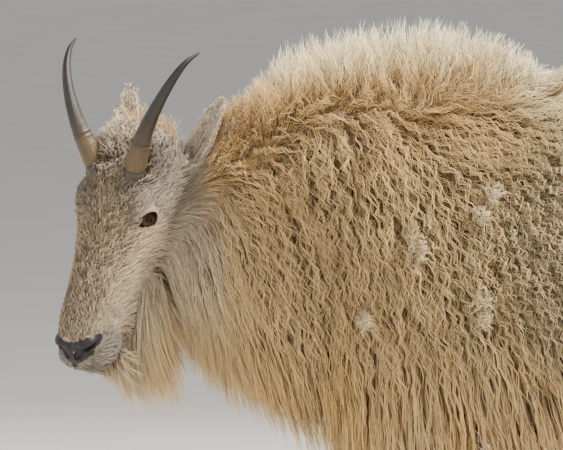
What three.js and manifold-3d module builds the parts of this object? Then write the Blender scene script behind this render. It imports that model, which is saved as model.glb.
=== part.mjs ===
// A life-size mountain goat, a nanny in her early-summer coat, standing with her head turned to her left.
// Millimetres, +Z up. She faces -Y, and her left side is +X. The origin is on the floor under her middle.
import * as THREE from "three";
import { mergeVertices } from "three/addons/utils/BufferGeometryUtils.js";
import Module from "manifold-3d";

const wasm = await Module();
wasm.setup();

// Driving sizes
const withers = 898; // top of the shoulder hump, under the hair
const chestDepth = 391;
const loin = 868; // height of the back over the belly
const rumpEnd = 575; // how far the hindquarters reach behind the middle of the body
const chestFront = -330;
const foreLegY = -203;
const hindLegY = 478;
const foreTrack = 78; // half the distance between the fore feet
const hindTrack = 74;
const headPlace = [45, -570, 808]; // the top of the skull between the horns
const headYaw = 52; // degrees, to her left
const headPitch = 66; // degrees that the face points below the horizon
const headRoll = 4; // her left side hangs a little lower
const eyeRadius = 17;
const eyePlace = [41, 39, -19]; // out from the middle, ahead of the horns, up
const hornBase = 15; // radius
const earLength = 102;
const hoofHeight = 40;
const seam = 0.3; // the gap that touching pieces keep
const backToMiddle = 16; // puts the middle of the whole goat over the origin

const rad = THREE.MathUtils.degToRad;
const vec = (...a) => new THREE.Vector3(...a);

// Seeded draws, so that every build is the same
let seed = 7;
function draw(low = 0, high = 1) {
  seed = (Math.imul(seed, 1664525) + 1013904223) >>> 0;
  return low + (high - low) * (seed / 4294967296);
}

// Meshes and solids
function closed(vertices, triangles) {
  const g = new THREE.BufferGeometry();
  g.setAttribute("position", new THREE.Float32BufferAttribute(vertices.flatMap((v) => [v.x, v.y, v.z]), 3));
  g.setIndex(triangles.flat());
  return g;
}

function solid(geometry, matrix) {
  const bare = new THREE.BufferGeometry().setAttribute("position", geometry.getAttribute("position").clone());
  if (geometry.index) bare.setIndex(geometry.index.clone());
  if (matrix) bare.applyMatrix4(matrix);
  const g = mergeVertices(bare, 1e-4);
  const make = (triVerts) =>
    new wasm.Manifold(new wasm.Mesh({ numProp: 3, vertProperties: g.attributes.position.array, triVerts }));
  const tris = new Uint32Array(g.index.array);
  const made = make(tris);
  if (made.volume() > 0) return made;
  for (let i = 0; i < tris.length; i += 3) [tris[i + 1], tris[i + 2]] = [tris[i + 2], tris[i + 1]];
  return make(tris);
}

function geometryOf(made) {
  const m = made.getMesh();
  const g = new THREE.BufferGeometry();
  g.setAttribute("position", new THREE.BufferAttribute(new Float32Array(m.vertProperties), 3));
  g.setIndex(new THREE.BufferAttribute(new Uint32Array(m.triVerts), 1));
  return g;
}

// Joins solids in pairs, so that no join is much larger than its two halves
function union(solids) {
  if (solids.length === 1) return solids[0];
  const half = Math.ceil(solids.length / 2);
  return union(solids.slice(0, half)).add(union(solids.slice(half)));
}
const largest = (made) => made.decompose().sort((a, b) => b.volume() - a.volume())[0];

// A body of oval sections along a curve. Stations run from front to back, or down a leg.
class Loft {
  constructor(stations, { side, share = 1, square = 1, grow = 0 }) {
    const curve = (pick) => new THREE.CatmullRomCurve3(stations.map(pick), false, "catmullrom", 0.5);
    const coat = (s, i) => share * (s.coat ? s.coat[i] : 0) + grow;
    this.line = curve((s) => vec(...s.at));
    this.girth = curve((s) => vec(s.wide + coat(s, 0), s.up + coat(s, 1), s.down + coat(s, 2)));
    this.egg = curve((s) => vec(s.egg ?? 0, 0, 0));
    this.side = side;
    this.square = square;
  }
  frame(t) {
    const along = this.line.getTangent(t);
    const up = this.side.clone().cross(along).normalize();
    return { c: this.line.getPoint(t), along, up, side: along.clone().cross(up) };
  }
  point(t, angle, out = 0) {
    const { c, up, side } = this.frame(t);
    const g = this.girth.getPoint(t);
    const round = (v) => Math.sign(v) * Math.abs(v) ** this.square;
    const cos = round(Math.cos(angle));
    const sin = round(Math.sin(angle));
    const x = cos * (g.x + out) * (1 + this.egg.getPoint(t).x * sin);
    const z = sin * ((sin > 0 ? g.y : g.z) + out);
    return c.addScaledVector(side, x).addScaledVector(up, z);
  }
  normal(t, angle) {
    const e = 0.004;
    const t0 = Math.max(0, t - e);
    const du = this.point(Math.min(1, t + e), angle).sub(this.point(t0, angle));
    const dv = this.point(t, angle + e).sub(this.point(t, angle - e));
    const n = du.cross(dv).normalize();
    return n.dot(this.point(t, angle).sub(this.line.getPoint(t))) < 0 ? n.negate() : n;
  }
  nearest(p) {
    let best = 0;
    let gap = Infinity;
    const look = (t) => {
      const d = this.line.getPoint(t).distanceTo(p);
      if (d < gap) [gap, best] = [d, t];
    };
    for (let i = 0; i <= 40; i++) look(i / 40);
    for (const step of [0.012, 0.006, 0.003]) [best - step, best + step].forEach((t) => t > 0 && t < 1 && look(t));
    const { c, up, side } = this.frame(best);
    const g = this.girth.getPoint(best);
    const d = p.clone().sub(c);
    const z = d.dot(up);
    return { t: best, angle: Math.atan2(z / (z > 0 ? g.y : g.z), d.dot(side) / g.x) };
  }
  geometry(sides, rings) {
    const ts = Array.isArray(rings) ? rings : Array.from({ length: rings + 1 }, (_, i) => i / rings);
    const vertices = [];
    const triangles = [];
    ts.forEach((t) => {
      for (let j = 0; j < sides; j++) vertices.push(this.point(t, (j / sides) * 2 * Math.PI));
    });
    for (let i = 0; i < ts.length - 1; i++)
      for (let j = 0; j < sides; j++) {
        const [a, b] = [i * sides + j, i * sides + ((j + 1) % sides)];
        triangles.push([a, b, a + sides], [b, b + sides, a + sides]);
      }
    for (const [first, t] of [[0, ts[0]], [(ts.length - 1) * sides, ts.at(-1)]]) {
      const middle = vertices.push(this.line.getPoint(t)) - 1;
      for (let j = 0; j < sides; j++) {
        const [a, b] = [first + j, first + ((j + 1) % sides)];
        triangles.push(first ? [a, b, middle] : [b, a, middle]);
      }
    }
    return closed(vertices, triangles);
  }
}

// How much of the coat's depth the smooth core takes up: the locks reach from it to the tips
const coreShare = 0.38;

// Trunk: a station at each y, with its top and bottom, half width, and the coat's depth at the side, top and bottom
const belly = withers - chestDepth;
const trunkStation = (y, top, bottom, wide, coat, egg = 0) => ({
  at: [0, y, (top + bottom) / 2], wide, up: (top - bottom) / 2, down: (top - bottom) / 2, coat, egg,
});
const trunk = [
  trunkStation(chestFront, withers - 98, belly + 78, 68, [42, 60, 104]),
  trunkStation(chestFront + 42, withers - 26, belly + 38, 104, [46, 112, 96]),
  trunkStation(chestFront + 92, withers - 5, belly + 14, 128, [48, 108, 84], -0.1),
  trunkStation(foreLegY + 28, withers, belly + 2, 139, [48, 106, 74], -0.16),
  trunkStation(foreLegY + 100, withers - 6, belly, 144, [48, 94, 68], -0.16),
  trunkStation(foreLegY + 165, withers - 14, belly - 4, 148, [46, 64, 64], -0.12),
  trunkStation(60, loin + 12, belly - 4, 156, [45, 48, 64], -0.06),
  trunkStation(180, loin, belly + 2, 160, [44, 46, 62]),
  trunkStation(290, loin - 6, belly + 26, 151, [43, 45, 62]),
  trunkStation(390, loin - 14, belly + 70, 134, [42, 44, 58]),
  trunkStation(hindLegY, loin - 38, belly + 116, 114, [42, 44, 52]),
  trunkStation(rumpEnd - 32, loin - 84, belly + 164, 78, [38, 40, 46]),
  trunkStation(rumpEnd, loin - 128, belly + 190, 30, [34, 36, 38]),
];

// Neck, from the skull back into the shoulders
const neck = [
  { at: [-24, -526, 796], wide: 30, up: 34, down: 34, coat: [6, 8, 8], egg: -0.4 },
  { at: [-28, -486, 778], wide: 52, up: 68, down: 74, coat: [18, 36, 70], egg: -0.5 },
  { at: [-14, -415, 764], wide: 72, up: 94, down: 94, coat: [42, 76, 118], egg: -0.35 },
  { at: [-2, -340, 752], wide: 90, up: 120, down: 120, coat: [50, 88, 142], egg: -0.15 },
  { at: [0, -258, 738], wide: 104, up: 142, down: 150, coat: [50, 100, 142] },
];

const tail = [
  { at: [0, rumpEnd - 30, 790], wide: 22, up: 20, down: 20, coat: [12, 12, 10] },
  { at: [0, rumpEnd + 2, 782], wide: 20, up: 18, down: 16, coat: [16, 18, 12] },
  { at: [0, rumpEnd + 22, 752], wide: 16, up: 14, down: 12, coat: [18, 18, 14] },
  { at: [0, rumpEnd + 27, 712], wide: 11, up: 9, down: 8, coat: [15, 13, 12] },
  { at: [0, rumpEnd + 24, 672], wide: 3, up: 3, down: 3, coat: [5, 5, 5] },
];

// Legs, from the top down. up is the back of the leg, down its front
const legStation = (y, z, lean, wide, back, front, hair) => ({
  at: [lean, y, z], wide, up: back, down: front, coat: [hair, hair * 1.1, hair * 0.9],
});
const foreLeg = [
  legStation(-12, 670, 0, 40, 66, 70, 26),
  legStation(8, 575, 8, 37, 54, 56, 42),
  legStation(5, 480, 9, 35, 42, 42, 50),
  legStation(1, 405, 6, 31, 34, 33, 48),
  legStation(-2, 350, 2, 28, 29, 31, 30),
  legStation(-3, 318, 1, 28, 28, 32, 13),
  legStation(-1, 284, 0, 21, 23, 24, 7),
  legStation(1, 205, 0, 18, 20, 20, 5),
  legStation(-1, 138, 0, 19, 22, 21, 5),
  legStation(-5, 103, 0, 24, 28, 25, 6),
  legStation(-13, 72, 0, 22, 23, 24, 5),
  legStation(-22, hoofHeight - 5, 0, 27, 25, 29, 4),
];
const hindLeg = [
  legStation(-40, 790, 0, 50, 92, 88, 20),
  legStation(-70, 690, 10, 56, 100, 90, 36),
  legStation(-90, 590, 16, 48, 84, 76, 46),
  legStation(-58, 500, 14, 38, 58, 58, 50),
  legStation(-6, 425, 8, 31, 40, 46, 44),
  legStation(28, 365, 4, 26, 33, 36, 24),
  legStation(38, 332, 2, 26, 32, 34, 12),
  legStation(40, 290, 1, 21, 26, 26, 8),
  legStation(30, 205, 0, 19, 21, 21, 5),
  legStation(21, 138, 0, 20, 22, 22, 5),
  legStation(17, 103, 0, 24, 28, 25, 6),
  legStation(8, 72, 0, 22, 23, 24, 5),
  legStation(-3, hoofHeight - 5, 0, 27, 25, 29, 4),
];

// Where each leg stands: the side, and how far its foot is ahead (-) or behind (+)
const legs = [
  { name: "leg_fore_left", stations: foreLeg, y: foreLegY, track: foreTrack, hand: 1, stride: -22 },
  { name: "leg_fore_right", stations: foreLeg, y: foreLegY, track: foreTrack, hand: -1, stride: 26 },
  { name: "leg_hind_left", stations: hindLeg, y: hindLegY, track: hindTrack, hand: 1, stride: 20 },
  { name: "leg_hind_right", stations: hindLeg, y: hindLegY, track: hindTrack, hand: -1, stride: -24 },
];
const hipHeight = 680; // a leg swings from here
const swing = (leg, z) => leg.stride * Math.max(0, 1 - z / hipHeight);
const legStations = (leg) => leg.stations.map((s) => ({
  ...s, at: [leg.hand * (leg.track + s.at[0]), leg.y + s.at[1] + swing(leg, s.at[2]), s.at[2]],
}));
const legLoft = (leg, share) => new Loft(legStations(leg), { side: vec(1, 0, 0), share });

// Head, in its own frame: x to her left, y from the nose back, z up through the skull; 0 is between the horns.
// Each station: how far ahead of the horns, top and bottom of the skull there, half width, egg
const headStation = (ahead, top, bottom, wide, egg, coat = 3) => ({
  at: [0, -ahead, (top + bottom) / 2], wide, up: (top - bottom) / 2, down: (top - bottom) / 2,
  coat: [coat, coat, coat * 1.5], egg,
});
const skull = [
  headStation(245, -24, -50, 14, 0, 1),
  headStation(237, -15, -58, 24, -0.05, 1),
  headStation(217, -7, -63, 31, -0.12, 1),
  headStation(188, -4, -68, 32, -0.14, 2),
  headStation(150, -3, -82, 33, 0),
  headStation(110, -2, -98, 40, 0.12, 4),
  headStation(76, 0, -110, 47, 0.18, 5),
  headStation(43, 4, -118, 54, 0.2, 6),
  headStation(14, 4, -120, 56, 0.12, 8),
  headStation(-18, 2, -112, 56, 0.05, 10),
  headStation(-46, -2, -96, 50, 0, 12),
  headStation(-66, -22, -78, 34, 0, 12),
];
const jaw = [
  headStation(238, -52, -66, 9, 0, 1),
  headStation(229, -48, -76, 18, 0, 1),
  headStation(206, -48, -84, 23, 0, 1),
  headStation(170, -52, -94, 26, 0, 2),
  headStation(124, -62, -107, 29, 0, 3),
  headStation(70, -72, -114, 31, 0, 3),
];

const headFrame = new THREE.Group();
headFrame.name = "head_frame";
headFrame.position.set(...headPlace);
headFrame.rotation.set(rad(headPitch), rad(headRoll), rad(headYaw), "ZYX");
headFrame.updateMatrixWorld(true);
const inHead = headFrame.matrixWorld;

// Both sides of the head
const sides = [{ name: "left", hand: 1 }, { name: "right", hand: -1 }];
const mirror = (hand, x, y, z) => vec(hand * x, y, z);

// Horns: smooth black cones that lean back, spread and hook back near the tip, with rings low down
const hornPath = [
  [20, 11, -14], [27, 0, -3], [40, -24, 20], [56, -52, 40], [72, -83, 52], [85.5, -114, 57], [94.5, -141, 53], [100.5, -161, 41],
];
const hornTaper = [0.98, 1, 0.88, 0.67, 0.51, 0.38, 0.24, 0.07];
function hornLoft(hand, grow = 0) {
  return new Loft(hornPath.map(([out, ahead, up], i) => {
    const r = hornBase * hornTaper[i];
    return { at: [hand * out, -ahead, up], wide: r * 0.94, up: r * 1.08, down: r * 1.08 };
  }), { side: vec(1, 0, 0), grow });
}
const hornSides = 10;
const hornRings = 12;

// Ears: a leaf rolled into a cup, open to the front, on a short stalk
const earRoot = [53, 42, -60];
const earAims = { 1: vec(47, 87, 27).normalize(), "-1": vec(23, 98, -3).normalize() };
const earOpens = { 1: vec(-0.15, -0.4, 0.8), "-1": vec(-0.41, -0.3, 0.8) };
const earWidths = [0.62, 0.86, 1, 1, 0.94, 0.78, 0.52, 0.2];
const earHalfWidth = 21;
const earRolls = [104, 96, 84, 72, 62, 54, 44, 30];
const earThick = 3.4;
const earAcross = 6;
function earGeometry(hand, grow = 0) {
  const along = mirror(hand, ...earAims[hand]);
  const open = mirror(hand, ...earOpens[hand]);
  open.addScaledVector(along, -open.dot(along)).normalize();
  const side = along.clone().cross(open);
  const root = mirror(hand, ...earRoot);
  const vertices = [];
  const last = earWidths.length - 1;
  const at = (i, j, layer) => (i * (earAcross + 1) + j) * 2 + layer;
  earWidths.forEach((share, i) => {
    const roll = rad(earRolls[i]);
    const half = earHalfWidth * share;
    const r = half / Math.sin(Math.min(roll, Math.PI / 2));
    const end = i === 0 ? -grow : i === last ? grow : 0;
    for (let j = 0; j <= earAcross; j++) {
      const a = (roll + grow / r) * ((2 * j) / earAcross - 1);
      for (const layer of [1, -1]) {
        const rr = r - layer * ((earThick / 2) * (1 - 0.5 * (i / last)) + grow);
        vertices.push(root.clone()
          .addScaledVector(along, earLength * (i / last) ** 0.92 + end)
          .addScaledVector(side, rr * Math.sin(a))
          .addScaledVector(open, -rr * Math.cos(a) + r * Math.cos(roll)));
      }
    }
  });
  const triangles = [];
  const quad = (a, b, c, d) => triangles.push([a, b, c], [a, c, d]);
  for (let i = 0; i < last; i++) {
    for (let j = 0; j < earAcross; j++) {
      quad(at(i, j, 0), at(i, j + 1, 0), at(i + 1, j + 1, 0), at(i + 1, j, 0));
      triangles.push([at(i, j, 1), at(i + 1, j + 1, 1), at(i, j + 1, 1)]);
      triangles.push([at(i, j, 1), at(i + 1, j, 1), at(i + 1, j + 1, 1)]);
    }
    quad(at(i, 0, 0), at(i + 1, 0, 0), at(i + 1, 0, 1), at(i, 0, 1));
    quad(at(i, earAcross, 0), at(i, earAcross, 1), at(i + 1, earAcross, 1), at(i + 1, earAcross, 0));
  }
  for (let j = 0; j < earAcross; j++) {
    quad(at(0, j, 0), at(0, j, 1), at(0, j + 1, 1), at(0, j + 1, 0));
    quad(at(last, j, 0), at(last, j + 1, 0), at(last, j + 1, 1), at(last, j, 1));
  }
  return closed(vertices, triangles);
}
const stalkRadius = 17;
function earStalk(hand, grow = 0) {
  const root = mirror(hand, ...earRoot);
  const along = mirror(hand, ...earAims[hand]);
  const at = (d) => root.clone().addScaledVector(along, d).toArray();
  const stations = [[-22 - grow, 0.6], [-12, 0.8], [2, 1], [12 + grow, 0.94]].map(([d, share]) => ({
    at: at(d), wide: stalkRadius * share, up: stalkRadius * share, down: stalkRadius * share,
  }));
  return new Loft(stations, { side: vec(1, 0, 0), grow }).geometry(8, 3);
}

// Eyes: a ball in its socket, under lids with an almond opening
const eyeAim = vec(0.88, -0.42, 0.12).normalize();
const slitAlong = vec(0.36, 0.86, -0.36);
const lidOut = 2.2;
const slitLong = 15.5;
const slitHigh = 10.5;
function eyeball(hand, radius) {
  const [out, ahead, up] = eyePlace;
  return new THREE.SphereGeometry(radius, 12, 8).translate(hand * out, -ahead, up);
}
function eyeSlit(hand) {
  const aim = mirror(hand, eyeAim.x, eyeAim.y, eyeAim.z);
  const along = mirror(hand, slitAlong.x, slitAlong.y, slitAlong.z);
  along.addScaledVector(aim, -along.dot(aim)).normalize();
  const high = aim.clone().cross(along);
  const steps = 12;
  const vertices = [];
  for (const depth of [4, eyeRadius + 20])
    for (let i = 0; i < steps; i++) {
      const a = (i / steps) * 2 * Math.PI;
      vertices.push(vec(hand * eyePlace[0], -eyePlace[1], eyePlace[2]).addScaledVector(aim, depth)
        .addScaledVector(along, slitLong * Math.cos(a))
        .addScaledVector(high, slitHigh * Math.sin(a) * Math.abs(Math.sin(a)) ** 0.35));
    }
  const triangles = [];
  for (let i = 0; i < steps; i++) {
    const j = (i + 1) % steps;
    triangles.push([i, j, steps + j], [i, steps + j, steps + i]);
  }
  for (let i = 1; i < steps - 1; i++) triangles.push([0, i + 1, i], [steps, steps + i, steps + i + 1]);
  return closed(vertices, triangles);
}

// An egg-shaped swelling or hollow
function blob(place, size, turn = [0, 0, 0], detail = [8, 5]) {
  const g = new THREE.SphereGeometry(1, ...detail);
  g.scale(...size);
  g.rotateX(rad(turn[0])).rotateY(rad(turn[1])).rotateZ(rad(turn[2]));
  return g.translate(...place);
}

// Hooves: two toes to a foot, splayed, each flat on the floor, and two small dew claws behind
const toeOut = 15;
const toeSplay = 5;
function toeGeometry() {
  const station = (z, wide, back, front) => ({ at: [0, 0, z], wide, up: back, down: front });
  return new Loft([
    station(hoofHeight, 13, 22, 27),
    station(hoofHeight * 0.55, 13.6, 23, 32),
    station(0, 14, 22, 38),
  ], { side: vec(1, 0, 0), square: 0.86 }).geometry(10, 2);
}
const clawPlace = [14, 43, 86];
const clawSize = [7, 8, 11];
const footAt = (leg, z) => {
  const low = leg.stations.at(-1).at;
  return vec(leg.hand * (leg.track + low[0]), leg.y + low[1] + swing(leg, z), z);
};
function clawGeometry(leg, out, grow = 0) {
  const foot = footAt(leg, clawPlace[2]);
  const size = clawSize.map((v) => v + grow);
  return blob([foot.x + out * clawPlace[0], foot.y + clawPlace[1], clawPlace[2]], size, [-20, 0, 0], [6, 4]);
}

// Where the pieces part: slabs and boxes that keep a seam between neighbours
const far = 3000;
function halfSpace(point, normal, shift) {
  const box = new THREE.BoxGeometry(far, far, far).translate(0, 0, far / 2 + shift);
  const turn = new THREE.Quaternion().setFromUnitVectors(vec(0, 0, 1), normal.clone().normalize());
  return solid(box, new THREE.Matrix4().compose(point, turn, vec(1, 1, 1)));
}
// Two solids: what lies before the plane, and what lies behind it
const split = (body, point, normal) => [
  body.subtract(halfSpace(point, normal, -seam / 2)),
  body.intersect(halfSpace(point, normal, seam / 2)),
];
const boxSolid = (low, high, grow = 0) => {
  const size = high.map((h, i) => h - low[i] + 2 * grow);
  const middle = high.map((h, i) => (h + low[i]) / 2);
  return solid(new THREE.BoxGeometry(...size).translate(...middle));
};

const skinOf = (stations, options = {}) => new Loft(stations, { side: vec(1, 0, 0), share: coreShare, ...options });

function headCore() {
  const local = (geometry) => solid(geometry, inHead);
  let head = local(skinOf(skull, { square: 0.92, share: 1 }).geometry(16, 14));
  head = head.add(local(skinOf(jaw, { square: 0.92, share: 1 }).geometry(10, 5)));
  for (const { hand } of sides) {
    const [out, ahead, up] = eyePlace;
    const swellings = [
      blob([hand * 42, -29, -13], [15, 24, 15], [0, 0, hand * -8]), // brow
      blob([hand * 42, -56, -46], [11, 28, 9], [-14, 0, hand * 8]), // cheekbone
      blob([hand * 36, -18, -80], [24, 46, 34], [12, 0, 0]), // jaw muscle
      blob([hand * 16, -224, -26], [13, 16, 16], [-20, 0, hand * 16]), // wing of the nostril
      blob([hand * 20, -205, -54], [15, 32, 13], [-10, 0, hand * 6]), // upper lip
    ];
    swellings.forEach((g) => { head = head.add(local(g)); });
    head = head.add(local(eyeball(hand, eyeRadius + lidOut)));
    head = head.subtract(local(eyeSlit(hand)));
    head = head.subtract(local(eyeball(hand, eyeRadius + seam)));
  }
  return head;
}
// Nostrils: a comma on each side of the nose pad, its tail curled up and back
function nostril(hand) {
  const path = [[5, 246, -34], [8, 241, -30], [17, 238, -24], [27, 228, -23], [37, 213, -31]];
  const round = [1.5, 5, 7, 6, 2];
  return new Loft(path.map(([out, ahead, up], i) => ({
    at: [hand * out, -ahead, up], wide: round[i], up: round[i] * 0.7, down: round[i] * 0.7,
  })), { side: vec(1, 0, 0) }).geometry(8, 8);
}

// Mouth: a line from corner to corner, under the edge of the upper lip
function mouth() {
  const half = [[0, 249, -53], [12, 245, -54], [24, 234, -58], [32, 216, -63], [35, 196, -66], [35, 182, -70]];
  const path = [...half.slice(1).reverse().map(([out, ahead, up]) => [-out, ahead, up]), ...half];
  return new Loft(path.map(([out, ahead, up]) => ({ at: [out, -ahead, up], wide: 1.3, up: 5, down: 5 })),
    { side: vec(0, 0, 1) }).geometry(6, 16);
}

// The coat's outer layer: flat, tapered locks, rooted in the core, that lie over one another

// One lock: a strand through the points, flat below and ridged above, its broad side turned to the normals
const lockWidths = [0.6, 1, 0.72];
const lockSection = [[0.5, -0.2], [0, 0.8], [-0.5, -0.2]];
function strand(points, facing, width, thick, grow = 0) {
  const vertices = [];
  const triangles = [];
  const last = points.length - 1;
  const sides = lockSection.length;
  for (let i = 0; i < last; i++) {
    const along = points[i + 1].clone().sub(points[Math.max(0, i - 1)]).normalize();
    const side = facing.clone().cross(along).normalize();
    const out = along.clone().cross(side);
    for (const [across, over] of lockSection)
      vertices.push(points[i].clone()
        .addScaledVector(side, across * (width * lockWidths[i] + 4 * grow))
        .addScaledVector(out, over * (thick * lockWidths[i] + 4 * grow)));
  }
  const tip = vertices.push(points[last]) - 1;
  for (let i = 0; i < last; i++)
    for (let j = 0; j < sides; j++) {
      const [a, b] = [sides * i + j, sides * i + ((j + 1) % sides)];
      if (i < last - 1) triangles.push([a, b, b + sides], [a, b + sides, a + sides]);
      else triangles.push([a, b, tip]);
    }
  triangles.push([0, 2, 1]);
  return closed(vertices, triangles);
}

// A point on a bend from a to c that leans towards b
const bend = (a, b, c, f) => a.clone().lerp(b, f).lerp(b.clone().lerp(c, f), f);

const lockRings = 3;
const locks = [];
function addLock(root, middle, tip, normal, width, thick, into = locks) {
  const points = Array.from({ length: lockRings + 1 }, (_, i) => bend(root, middle, tip, i / lockRings));
  const stands = Math.abs(tip.clone().sub(root).normalize().dot(normal)) > 0.75;
  const facing = stands ? vec(1, 0.2, 0) : normal; // a lock that stands turns its broad side to the flank
  into.push((grow) => solid(strand(points, facing, width, thick, grow)));
}

// A layer of a coat: share 0 lies on the skin, 1 at the tips of the hair
const coatOf = (make) => ({ skin: make(0), full: make(1) });
const layer = (coat, t, angle, share) =>
  coat.skin.point(Math.min(1, Math.max(0, t)), angle).lerp(coat.full.point(Math.min(1, Math.max(0, t)), angle), share);
const toward = (hand, degrees) => (hand > 0 ? rad(degrees) : Math.PI - rad(degrees));

// A lock on a coat from t and angle: it runs by dt and da over the coat, and ends at the layer to, let down by sag
function lockOn(coat, t, angle, { dt = 0, da = 0, to = 1, sag = 0, width, thick, into }) {
  const normal = coat.full.normal(Math.min(0.99, Math.max(0.01, t)), angle);
  const root = layer(coat, t, angle, coreShare).addScaledVector(normal, -rootDepth);
  const middle = layer(coat, t + dt * 0.45, angle + da * 0.45, coreShare + (to - coreShare) * 0.8);
  const tip = layer(coat, t + dt, angle + da, to).add(vec(0, 0, -sag));
  addLock(root, middle, tip, normal, width * draw(0.88, 1.15), thick, into);
}
const rootDepth = 14;

// Where along a loft the middle line reaches the value of one coordinate
function reach(loft, axis, value) {
  let [low, high] = [0, 1];
  const rising = loft.line.getPoint(1)[axis] > loft.line.getPoint(0)[axis];
  for (let i = 0; i < 24; i++) {
    const mid = (low + high) / 2;
    if (loft.line.getPoint(mid)[axis] < value === rising) low = mid;
    else high = mid;
  }
  return (low + high) / 2;
}

const trunkCoat = coatOf((share) => new Loft(trunk, { side: vec(1, 0, 0), share, square: 0.95 }));
const neckCoat = coatOf((share) => new Loft(neck, { side: vec(1, 0, 0), share }));
const tailCoat = coatOf((share) => new Loft(tail, { side: vec(1, 0, 0), share }));

// Rows of locks: y from, to and step, at each angle above the horizontal on both sides
function rows(coat, { from, until, step, angles, lean = 0, turn = 0, ...rest }) {
  angles.forEach((degrees, row) => {
    for (const hand of degrees === 90 || degrees === -90 ? [1] : [1, -1])
      for (let y = from + (row % 2 ? step / 2 : 0); y <= until; y += step) {
        const start = y + draw(-0.26, 0.26) * step;
        const t = reach(coat.skin, "y", start);
        const dt = reach(coat.skin, "y", start + lean * draw(0.6, 1.4)) - t;
        const angle = toward(hand, degrees + (Math.abs(degrees) === 90 ? draw(-2, 2) : draw(-5, 5)));
        lockOn(coat, t, angle, { ...rest, dt, da: -hand * rad(turn) * draw(0.75, 1.25), to: rest.to * draw(0.95, 1.02) });
      }
  });
}

// Crest: it stands along the neck and withers and drops behind the shoulder
rows(neckCoat, { from: -484, until: -330, step: 44, angles: [56], lean: 34, turn: -16, to: 1.04, width: 38, thick: 14 });
rows(neckCoat, { from: -474, until: -330, step: 46, angles: [90], lean: 26, to: 1.05, width: 32, thick: 16 });
rows(trunkCoat, { from: -292, until: -60, step: 56, angles: [44, 66], lean: 44, turn: -17, to: 1.04, width: 46, thick: 15 });
rows(trunkCoat, { from: -300, until: -46, step: 38, angles: [90], lean: 26, to: 1.03, width: 32, thick: 20 });
// Back and flanks: they lie backwards and down
rows(trunkCoat, { from: -10, until: 500, step: 100, angles: [68, 90], lean: 118, turn: 9, to: 1.05, width: 58, thick: 15 });
rows(trunkCoat, { from: -272, until: 490, step: 112, angles: [52, 27, 1, -24], lean: 36, turn: 44, to: 1.05, width: 72, thick: 16 });
// Belly and chest: long hair that hangs
rows(trunkCoat, { from: -292, until: 370, step: 72, angles: [-48], lean: 24, turn: 28, to: 1.03, sag: 20, width: 54, thick: 15 });
rows(trunkCoat, { from: -250, until: 330, step: 70, angles: [-90], lean: 22, turn: 4, to: 1.04, sag: 4, width: 60, thick: 15 });
// Rump
rows(trunkCoat, { from: 536, until: 560, step: 50, angles: [40, -4, -42], lean: 12, turn: 40, to: 1.05, sag: 10, width: 60, thick: 15 });
// Neck and throat
rows(neckCoat, { from: -462, until: -350, step: 80, angles: [30, -4, -38], lean: 30, turn: 40, to: 1.04, width: 60, thick: 15 });
rows(neckCoat, { from: -476, until: -418, step: 54, angles: [-66, -90], lean: 12, turn: 8, to: 1.03, sag: 12, width: 50, thick: 14 });
rows(neckCoat, { from: -344, until: -290, step: 50, angles: [-42, -68, -90], lean: 44, turn: 14, to: 1.03, sag: 10, width: 56, thick: 15 });
rows(tailCoat, { from: 586, until: 588, step: 12, angles: [60, 0], lean: 6, turn: 10, to: 1.05, sag: 26, width: 22, thick: 9 });

// Long hair round the top of each leg: the upper band is the body's, and hangs over the lower one
const legLocks = {};
for (const leg of legs) {
  const coat = coatOf((share) => legLoft(leg, share));
  const bands = leg.stations === foreLeg ? [[512, 5], [414, 5]] : [[640, 4], [540, 5], [430, 5]];
  legLocks[leg.name] = [];
  bands.forEach(([z, count], row) => {
    const into = row === bands.length - 1 ? legLocks[leg.name] : locks;
    for (let i = 0; i < count; i++) {
      const t = reach(coat.skin, "z", z + draw(-6, 6));
      const angle = ((i + (row % 2) / 2) / count) * 2 * Math.PI + draw(-0.12, 0.12);
      const dt = reach(coat.skin, "z", z - 92) - t;
      lockOn(coat, t, angle, { dt, to: 1.04, sag: 8, width: 54, thick: 14, into });
    }
  });
}

// Beard: from the chin back along the jaw, longest behind
for (const [ahead, count, long] of [[226, 2, 40], [200, 3, 66], [172, 3, 92], [144, 3, 112], [118, 2, 118]])
  for (let i = 0; i < count; i++) {
    const across = count > 1 ? (2 * i) / (count - 1) - 1 : 0;
    const root = vec(across * 19, -ahead, -78 - (206 - ahead) * 0.16 + 8 - Math.abs(across) * 6).applyMatrix4(inHead);
    const reachOut = long * draw(0.86, 1.1);
    const middle = root.clone().add(vec(across * 7, reachOut * 0.12, -reachOut * 0.5));
    const tip = root.clone().add(vec(across * 5 + draw(-5, 5), reachOut * 0.46, -reachOut * 0.94));
    addLock(root, middle, tip, vec(0.8, 0.3 * across, 0.1), 26, 12);
  }

// Poll: a curly cap between the horns and ears
for (const [out, back, length] of [[0, 8, 24], [-20, 26, 28], [18, 26, 28], [0, 44, 28]]) {
  const root = vec(out, back, -8).applyMatrix4(inHead);
  const middle = vec(out * 1.1, back + length * 0.4, 16).applyMatrix4(inHead);
  const tip = vec(out * 1.2, back + length, 13).applyMatrix4(inHead);
  addLock(root, middle, tip, vec(0, 0, 1).transformDirection(inHead), 28, 12);
}

function core() {
  const parts = [
    solid(skinOf(trunk, { square: 0.95 }).geometry(14, 13)),
    solid(skinOf(neck).geometry(14, 6)),
    solid(skinOf(tail).geometry(8, 6)),
    ...legs.map((leg) => solid(legLoft(leg, coreShare).geometry(10, 12))),
  ];
  return union([headCore(), ...parts, ...locks.map((make) => make(0))]);
}

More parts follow.
